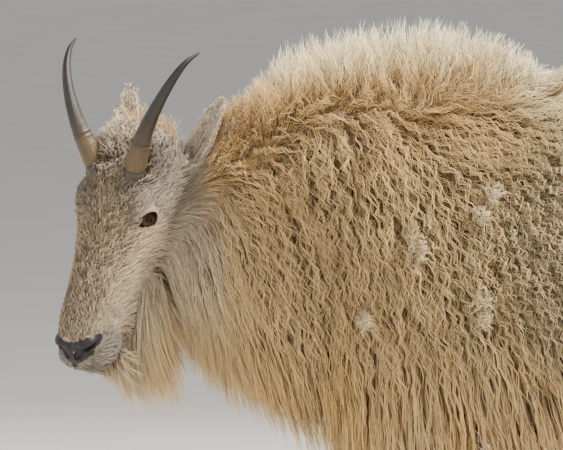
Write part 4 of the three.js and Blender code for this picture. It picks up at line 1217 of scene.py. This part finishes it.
def strands(path, outs, kinds, shares, roots, colours, tips, thick, rng):
    for kind, name in enumerate(styleNames):
        chosen = np.flatnonzero(kinds == kind)
        if not len(chosen):
            continue
        style = styles[name]
        hairs, joints, mixed = style["hairs"], style["joints"], style["mixed"] * 0.7
        lock = np.repeat(chosen, hairs)
        count = len(lock)
        first = np.tile(np.arange(hairs), len(chosen)) == 0
        value = {key: styleValue(key, shares[lock])
                 for key in ("wave", "pitch", "gather", "width", "flat", "spread", "length")}
        spread = value["spread"] * thick[lock]
        radius = spread * np.where(first, 0.15, 1) * np.sqrt(rng.random(count))
        bearing = rng.uniform(0, 2 * np.pi, count)
        offset = np.stack([np.cos(bearing), np.sin(bearing)], 1) * radius[:, None]
        reach = np.where(first, 1.0, rng.uniform(0.72, 1.04, count))
        width = value["width"] * np.where(first, 1.15, rng.uniform(0.5, 0.95, count)) * thick[lock]
        phase = (3.2 * ripple(path[lock, 0], 46, 31)
                 + np.repeat(rng.normal(0, 0.7, len(chosen)), hairs) + rng.normal(0, 0.4, count))
        amount = value["wave"] * np.repeat(rng.uniform(0.6, 1.35, len(chosen)), hairs)
        gather = value["gather"] * rng.uniform(0.6, 1.1, count)
        # where each ring of each strand lies on its lock's path
        s = np.linspace(0, 1, joints + 1)[None] * reach[:, None]
        at = np.clip(s, 0, 1) * guideSteps
        low = np.minimum(at.astype(int), guideSteps - 1)
        f = (at - low)[..., None]
        rows = lock[:, None]
        centre = path[rows, low] * (1 - f) + path[rows, low + 1] * f
        out = unit(outs[rows, low] * (1 - f) + outs[rows, low + 1] * f)
        along = unit(np.gradient(centre, axis=1))
        stands = np.abs((out * along).sum(-1, keepdims=True))
        out = unit(out + np.array([0.9, 0.3, 0.1]) * stands)
        side = unit(np.cross(out, along))
        out = np.cross(along, side)
        # the wave of the lock, the strand's place in it and its tapered rings
        swing = 2 * np.pi * s * value["length"][:, None] / value["pitch"][:, None] + phase[:, None]
        envelope = smoothStep(0.0, 0.45, s) * amount[:, None]
        shrink = 1 - gather[:, None] * smoothStep(0, 1, s)
        centre = (centre + side * (offset[:, :1] * shrink + envelope * np.sin(swing))[..., None]
                  + out * (offset[:, 1:] * shrink + 0.55 * envelope * np.cos(swing))[..., None])
        taper = (np.clip(1 - np.linspace(0, 1, joints + 1) ** 2.6, 0, 1)
                 * (0.75 + 0.25 * np.sin(np.linspace(0, np.pi, joints + 1))))
        half = width[:, None] / 2 * taper[None]
        corners = [centre + side * (np.cos(math.radians(a)) * half)[..., None]
                   + out * (np.sin(math.radians(a)) * half * value["flat"][:, None])[..., None]
                   for a in (90, 210, 330)]
        rings = np.stack(corners, 2)[:, :joints]
        vertices = np.concatenate([rings.reshape(count, joints * 3, 3), centre[:, joints:]], 1)
        level = np.concatenate([np.repeat(np.linspace(0, 1, joints + 1)[:joints], 3), [1.0]])
        across = np.concatenate([np.tile([0.5, 0.0, 1.0], joints), [0.5]])
        patch = np.stack([across, level], 1)[None] - 0.5
        patch = roots[lock][:, None] + coatFacts["patch"] * patch
        vary = np.clip(rng.normal(1, mixed, (count, 1)), 0.5, 1.5) * rng.normal(1, 0.02, (count, 3))
        vary = vary * np.repeat(np.clip(rng.normal(1, mixed, (len(chosen), 1)), 0.6, 1.4), hairs, 0)
        up = level[None, :, None]
        tone = (colours[lock][:, None] * (1 - up) + tips[lock][:, None] * up) * vary[:, None]
        yield name, strandFaces(joints), {"vertices": vertices, "along": np.tile(level, (count, 1)),
                                          "patch": patch, "tone": tone}


def dress(thing, material, slot, *replaced):
    thing.data.materials.clear()
    thing.data.materials.append(material)
    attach(thing, "root")
    if replaced:
        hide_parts(*replaced)


def coatPiece(name, part, chosen, pattern, material):
    rows = {key: values[chosen] for key, values in part.items()}
    each = rows["vertices"].shape[1]
    faces = (pattern[None] + (np.arange(len(chosen)) * each)[:, None, None]).reshape(-1, 3)
    thing = meshObject(name, toWorld(rows["vertices"].reshape(-1, 3)), faces)
    paint(thing, "tone", np.clip(rows["tone"].reshape(-1, 3), 0, 1))
    mark(thing, "along", rows["along"].ravel())
    layer = thing.data.uv_layers.new(name="OFBake")
    corners = rows["patch"].reshape(-1, 2)[faces.ravel()]
    layer.data.foreach_set("uv", corners.astype(np.float32).ravel())
    dress(thing, material, "coat")


# The beard: its lower edge as y and height, how far back a millimetre of fall takes it, its lengths
beard = {"hem": [(-600, 560), (-596, 555), (-578, 543), (-559, 530), (-540, 524), (-525, 514),
                 (-500, 512), (-492, 524), (-484, 552), (-478, 590)],
         "slope": 0.42, "chinSlope": 0.1, "lengths": (14, 165)}
length = styleValue("length", rootShares) * rng.uniform(0.82, 1.12, len(rootPoints))
rise = styleValue("rise", rootShares) * rng.uniform(0.82, 1.12, len(rootPoints))
hang = np.clip(styleValue("hang", rootShares), 0, 1)
still = styleValue("still", rootShares)
rise = rise * (1 - 0.45 * smoothStep(0.35, 0.6, still) * smoothStep(-455, -490, rootPoints[:, 1]))
deep = styleValue("deep", rootShares) * rng.uniform(0.8, 1.2, len(rootPoints))
inBeard = isStyle(rootKinds, "beard")  # short at the chin and long under the cheek
slope = beard["slope"] + beard["chinSlope"] * smoothStep(110, 190, -toHead(rootPoints)[:, 1])
hem = np.full(len(rootPoints), 530.0)
for _ in range(4):  # settles where each hair meets the hem
    hem = np.interp(rootPoints[:, 1] + slope * (rootPoints[:, 2] - hem), *np.array(beard["hem"]).T)
full = (rootPoints[:, 2] - hem) * np.sqrt(1 + slope**2) * rng.uniform(0.86, 1.1, len(hem))
length = np.where(inBeard, np.clip(full, *beard["lengths"]), length)
underHead = rootShares[:, isStyle(np.arange(len(styleNames)), "beard", "cheek")].sum(1)
underHead = smoothStep(0.1, 0.5, underHead)
fall = np.array([0, 0.08, -1.0]) + underHead[:, None] * np.array([0, 0.06, 0.06])
fall[:, 1] += inBeard * (slope - 0.12)
swirl = np.stack([ripple(rootPoints, 70, seed) for seed in (41, 42, 43)], 1) * 0.13
lie = unit(rootWays + swirl + rng.normal(0, 0.07, rootWays.shape))
path, outs = grow(rootPoints, rootNormals, lie, length, rise, hang, still, deep, fall)
thick = np.where(coarseness(rootPoints, rootNormals) < 1, 1.0, 1.5)


def hidesEar(path, kinds):  # body hair that would stand in front of an ear
    hidden = np.zeros(len(path), bool)
    for hand in (1, -1):
        root, along, _, _ = earAxes(hand)
        a, b = fromHead(np.array([root + along * ear["clearFrom"], root + along * ear["long"]]))
        d = (b - a)[1:]
        gap = path[..., 1:] - a[1:]
        f = np.clip(gap @ d / (d @ d), 0, 1)
        away = np.linalg.norm(gap - f[..., None] * d, axis=-1)
        outer = (path[..., 0] - (a[0] + f * (b - a)[0])) * hand > ear["clearBehind"]
        hidden |= ((away < ear["clearRound"]) & outer).any(1)
    return hidden & ~isStyle(kinds, "face", "curl", "cheek", "ear", "beard")


# Loose wool on her left side: y, height, half width, half height of each patch
tuft = {"places": [(-187, 726, 13, 24), (-108, 647, 12, 20), (-255, 634, 7, 9), (-96, 787, 7, 10),
                   (-112, 766, 6, 7)], "locks": 28, "reach": 26, "proud": 7, "thick": 0.8}


def tuftPaths(rng):
    made = []
    for y, z, wide, high in tuft["places"]:
        for _ in range(tuft["locks"]):
            spot = np.array([400, y + rng.normal(0, wide / 2), z + rng.normal(0, high / 2)])
            hit = coatTree.ray_cast(spot * mm + bodyShift * mm, (-1, 0, 0))
            place, normal = fromWorld(hit[0]), np.array(hit[1])
            way = unit(np.array([0, 0.25, -0.8]) + rng.normal(0, 0.6, 3))
            way = unit(way - normal * (way @ normal))
            s = np.linspace(0, 1, guideSteps + 1)[:, None]
            arch = np.sin(s * np.pi) * tuft["proud"] * rng.uniform(0.6, 1.5)
            made.append(place - normal * 4 + way * (s - 0.4) * tuft["reach"] * rng.uniform(0.6, 1.2)
                        + normal * (arch + 4 * s))
    return np.array(made)


keep = ~hidesEar(path, rootKinds)
path, outs, thick, rootPoints, rootShares, rootKinds = (
    rows[keep] for rows in (path, outs, thick, rootPoints, rootShares, rootKinds))
shed = tuftPaths(rng)
path = np.vstack([path, shed])
outs = np.vstack([outs, np.tile(np.array([1.0, 0, 0]), (len(shed), guideSteps + 1, 1))])
thick = np.concatenate([thick, np.full(len(shed), tuft["thick"])])
rootPoints = np.vstack([rootPoints, shed[:, 0]])
rootKinds = np.concatenate([rootKinds, np.full(len(shed), styleNames.index("tuft"))])
shedShares = np.tile(isStyle(np.arange(len(styleNames)), "tuft"), (len(shed), 1))
rootShares = np.vstack([rootShares, shedShares])
print("paths grown", len(shed), "of them shed wool")

# Painted shade at the roots, painted light on the tips, how far up the painted shade reaches, and
# the styles that have the material
coatLooks = {
    "crest_hair": ((0.34, 0.28, 0.2), 1.3, 0.66, ("crest", "mane")),
    "short_hair": ((0.56, 0.53, 0.49), 1.2, 0.45, ("face", "short", "ear", "leg")),
    "curly_hair": ((0.22, 0.18, 0.14), 1.35, 0.6, ("curl", "poll")),
    "soft_hair": ((0.42, 0.37, 0.3), 1.2, 0.5, ("cheek", "beard", "throat", "smooth")),
    "shaggy_hair": ((0.24, 0.2, 0.15), 1.3, 0.62,
                    ("fringe", "lock", "wool", "long", "rump", "tuft")),
}
coatMaterials = {}
for name, (*look, wearers) in coatLooks.items():
    coatMaterials.update(dict.fromkeys(wearers, coatFinish(name, *look)))
rootColours, tipColours = markings(rootPoints), markings(path[:, -2])
inHead = isStyle(rootKinds, "face", "curl", "poll", "cheek", "ear")
tipColours = np.where(inHead[:, None], rootColours, tipColours)
inBeard, loose = isStyle(rootKinds, "beard"), isStyle(rootKinds, "tuft")
rootColours = mixTo(rootColours, "cream", loose * 0.35)
for name, amount in (("gold", inBeard * 0.6), ("cream", inBeard * 0.15), ("cream", loose * 0.45)):
    tipColours = mixTo(tipColours, name, amount)
total = 0
for name, pattern, part in strands(path, outs, rootKinds, rootShares, bakePlaces(rootPoints),
                                   rootColours, tipColours, thick, rng):
    count = len(part["vertices"])
    pieces = math.ceil(count / (coatFacts["pieceTriangles"] // len(pattern)))
    for i, chosen in enumerate(np.array_split(np.arange(count), pieces)):
        coatPiece("coat_%s_%d" % (name, i + 1), part, chosen, pattern, coatMaterials[name])
    total += count * len(pattern)
    print("coat", name, count, "strands", count * len(pattern), "triangles")
print("coat triangles", total)

sideNames = {1: "left", -1: "right"}


def setUv(thing, name, perVertex):
    layer = thing.data.uv_layers.new(name=name)
    corner = np.empty(len(thing.data.loops), np.int32)
    thing.data.loops.foreach_get("vertex_index", corner)
    layer.data.foreach_set("uv", np.asarray(perVertex, np.float32)[corner].ravel())


# Horns: two rings and a grey collar low down, brown turning black
horn = {
    "path": [(20, 11, -14), (27, 0, -3), (40, -24, 20), (56, -52, 40), (72, -83, 52),
             (85.5, -114, 57), (94.5, -141, 53), (100.5, -161, 41)],
    "taper": (0.98, 1, 0.88, 0.67, 0.51, 0.38, 0.24, 0.07), "radius": 15,
    # how far up the horn, how high and how wide each ridge or groove is
    "ridges": [(12, 0.55, 3.4), (15.5, -0.55, 0.7), (19.5, -0.4, 0.6), (24, 0.2, 3.0),
               (33, -0.12, 0.7), (41, 0.18, 2.4), (52, 0.75, 1.6), (55, -0.35, 0.7),
               (58, 0.5, 1.4), (70, 0.15, 3.0)],
}


def hornObject(hand):
    sides, rings = 40, 320
    rows = [(hand * out, -ahead, up, r * 0.94, r * 1.08, r * 1.08, 0, 0, 0, 0)
            for (out, ahead, up), r in zip(horn["path"], horn["radius"] * np.array(horn["taper"]))]
    loft = Loft(rows)
    line = loft.frame(np.linspace(0, 1, rings + 1))[0]
    run = np.concatenate([[0], np.cumsum(np.linalg.norm(np.diff(line, axis=0), axis=1))])
    run = np.repeat(run - np.interp(1 / 7, np.linspace(0, 1, rings + 1), run), sides)
    angle = ringGrid(sides, rings)[1]
    points = loft.grid(sides, rings)
    middle = np.repeat(line, sides, 0)
    lift = sum(high * np.exp(-((run + 1.2 * np.sin(angle + 1) - at) / wide) ** 2)
               for at, high, wide in horn["ridges"])
    lift += 0.22 * ripple(np.stack([np.cos(angle) * 30, np.sin(angle) * 30, run * 0.2], 1), 12, 61)
    lift *= smoothStep(150, 90, run)
    points = points + unit(points - middle) * lift[:, None]
    points = np.vstack([points, line[:1], line[-1:]])
    faces = ringFaces(sides, rings + 1, len(points) - 2, len(points) - 1)
    thing = headObject("horn_shell_" + sideNames[hand], points, faces)
    around = np.concatenate([np.abs(angle / np.pi - 1), [0, 0]])
    setUv(thing, "grain", np.stack([around, np.concatenate([run, [0, 200]]) / 200], 1))
    return thing


def hornFinish():
    material, tree, shader = finish("horn_sheath", {"Roughness": 0.46, "Specular IOR Level": 0.38})
    place = node(tree, "ShaderNodeUVMap", uv_map="grain").outputs["UV"]
    up = node(tree, "ShaderNodeSeparateXYZ", [(0, place)]).outputs["Y"]
    colour = ramp(tree, up, [
        (0.0, (0.05, 0.042, 0.036)), (0.068, (0.06, 0.05, 0.042)), (0.08, (0.022, 0.018, 0.014)),
        (0.092, (0.105, 0.07, 0.034)), (0.25, (0.09, 0.061, 0.032)), (0.275, (0.04, 0.03, 0.02)),
        (0.3, (0.05, 0.038, 0.026)), (0.44, (0.024, 0.021, 0.02)), (0.8, (0.010, 0.010, 0.011)),
    ])
    fibre = noise(tree, stretched(tree, place, (34, 5, 1)), 2.2, 4, 0.65)
    worn = ramp(tree, fibre, [(0.3, (0.55, 0.52, 0.5)), (0.55, 1), (0.75, (1.5, 1.45, 1.4))])
    wear(tree, shader, multiplied(tree, colour, worn), fibre, 0.35, 0.0008)
    return material


# Eyes: a dark iris with a level pupil, behind dark lids
irisFacts = {"across": 9.8, "high": 1.6, "along": 0.3}


def eyeBall(hand):
    centre, aim, along, high = eyeFrame(hand)
    points, faces = blobPoints(centre, (eye["radius"],) * 3, detail=(96, 64))
    world = fromHead(points)
    gaze = headTurn @ aim
    level = unit(np.cross([0, 0, 1.0], gaze))
    lift = np.cross(gaze, level)
    middle = fromHead(centre + high * irisFacts["high"] + along * irisFacts["along"])
    thing = solidObject("eyeball_" + sideNames[hand], world, faces)
    d = world - middle
    behind = np.where(d @ gaze < 0, 40, 0)
    setUv(thing, "iris", np.stack([d @ level + behind, d @ lift], 1) / irisFacts["across"])
    return thing


def eyeFinish():
    material, tree, shader = finish("eye", {"Roughness": 0.06, "Coat Weight": 0.1,
                                            "Coat Roughness": 0.03, "Specular IOR Level": 0.1})
    place = node(tree, "ShaderNodeUVMap", uv_map="iris").outputs["UV"]

    def distance(vector):
        made = node(tree, "ShaderNodeVectorMath", [(0, vector)], operation="LENGTH")
        return made.outputs["Value"]

    iris = ramp(tree, distance(place), [
        (0.0, (0.03, 0.012, 0.006)), (0.38, (0.04, 0.015, 0.006)), (0.64, (0.06, 0.025, 0.008)),
        (0.8, (0.045, 0.019, 0.007)), (0.86, (0.014, 0.008, 0.006)), (1.0, (0.009, 0.007, 0.006)),
    ])
    rays = ramp(tree, noise(tree, place, 9, 3),
                [(0.35, (0.6, 0.55, 0.5)), (0.65, (1.25, 1.2, 1.1))])
    pupil = ramp(tree, distance(stretched(tree, place, (1.75, 2.7, 1))), [(0.86, 0.02), (1.0, 1)])
    up = node(tree, "ShaderNodeSeparateXYZ", [(0, place)]).outputs["Y"]
    shade = ramp(tree, up, [(0.0, 1), (0.45, 0.3)])  # under the upper lid
    wear(tree, shader, multiplied(tree, iris, rays, pupil, shade))
    return material


def lidRim(hand):
    centre, aim, along, high = eyeFrame(hand)
    steps, sides = 72, 12
    x, y = slitCurve(steps, -0.2)
    a = np.arange(steps) / steps * 2 * np.pi
    shell = eye["radius"] + 0.7
    line = (centre + aim * np.sqrt(shell**2 - x**2 - y**2)[:, None] + along * x[:, None]
            + high * y[:, None])
    tangent = unit(np.roll(line, -1, 0) - np.roll(line, 1, 0))
    outside = unit(line - centre)
    side = np.cross(tangent, outside)
    thick = 1.5 + 1.3 * smoothStep(0.3, 1, -np.cos(a)) + 0.3 * smoothStep(0, 1, np.sin(a))
    bearing = np.arange(sides) / sides * 2 * np.pi
    ring = (line[:, None] + side[:, None] * (np.cos(bearing)[None] * thick[:, None])[..., None]
            + outside[:, None] * (np.sin(bearing)[None] * thick[:, None] * 0.7)[..., None])
    i, j = np.meshgrid(np.arange(steps), np.arange(sides), indexing="ij")
    i, n, k = i * sides, (i + 1) % steps * sides, (j + 1) % sides
    faces = np.stack([i + j, i + k, n + k, i + j, n + k, n + j], -1).reshape(-1, 3)
    return headObject("lid_" + sideNames[hand], ring.reshape(-1, 3), faces)


def lidFinish():
    material, tree, shader = finish("bare_lid", {"Roughness": 0.34})
    place = objectPlace(tree)
    fleck = ramp(tree, noise(tree, place, 700, 3),
                 [(0.3, (0.010, 0.009, 0.009)), (0.7, (0.03, 0.026, 0.024))])
    wear(tree, shader, fleck, noise(tree, place, 1500, 2), 0.3, 0.0003)
    return material


# Hooves: two splayed toes and two dew claws to a foot
hoof = {"out": 15, "splay": 5, "square": 0.86, "stations": [
    (41.5, 11.6, 19.5, 24), (40, 13, 22, 27), (22, 13.6, 23, 32), (3, 14, 22, 37.4),
    (0, 13.4, 21, 36.6)],
    "claw": (14, 43, 86), "clawSize": (7, 8, 11), "clawTilt": -20}


def footPieces(name, leg):
    stations, y, track, hand, stride = leg
    pieces = []
    for toe in (1, -1):
        rows = [(0, 0, *station, 0, 0, 0, 0) for station in hoof["stations"]]
        loft = Loft(rows, 1, hoof["square"])
        points, faces = loft.mesh(40, 40)
        dents = 0.25 * ripple(points * (0.2, 0.2, 1), 5, 71)
        points = points + np.array([1, 1, 0]) * dents[:, None]
        spin = np.array(Matrix.Rotation(math.radians(toe * hoof["splay"]), 3, "Z"))
        place = (hand * track + toe * hoof["out"], y + stations[-1][0] + stride, 0)
        pieces.append((points @ spin.T + place, faces))
        out, back, high = hoof["claw"]
        swing = stride * (1 - high / hipHeight)
        foot = np.array((hand * track + toe * out, y + stations[-1][0] + swing + back, high))
        pieces.append(blobPoints(foot, hoof["clawSize"], (hoof["clawTilt"], 0, 0), (28, 18)))
    vertices, triangles, offset = [], [], 0
    for points, faces in pieces:
        vertices.append(points)
        triangles.append(outward(points, faces) + offset)
        offset += len(points)
    return meshObject("hooves_" + name, toWorld(np.vstack(vertices)), np.vstack(triangles))


def hoofFinish():
    material, tree, shader = finish("hoof_horn", {"Roughness": 0.5})
    place = objectPlace(tree)
    worn = ramp(tree, noise(tree, place, 60, 5, 0.6),
                [(0.3, (0.022, 0.018, 0.016)), (0.75, (0.085, 0.068, 0.052))])
    wear(tree, shader, worn, noise(tree, stretched(tree, place, (1, 1, 9)), 40, 3), 0.4, 0.001)
    return material


hornMaterial, eyeMaterial = hornFinish(), eyeFinish()
lidMaterial, hoofMaterial = lidFinish(), hoofFinish()
for hand, side in sideNames.items():
    dress(hornObject(hand), hornMaterial, "horn", "horn_" + side)
    dress(eyeBall(hand), eyeMaterial, "eye", "eye_" + side)
    dress(lidRim(hand), lidMaterial, "face")
for name, leg in legs.items():
    feet = ["%s_%s_%s" % (kind, name, place)
            for kind in ("hoof", "dewclaw") for place in ("outer", "inner")]
    dress(footPieces(name, leg), hoofMaterial, "hoof", *feet)
print("horns, eyes and hooves")

reach = light["floor"]["size"] / 2
corners = [(reach * x, reach * y, 0) for x, y in ((-1, -1), (1, -1), (1, 1), (-1, 1))]
floor = meshObject("floor", corners, [(0, 1, 2, 3)], False)
floor.data.materials.append(floorFinish())
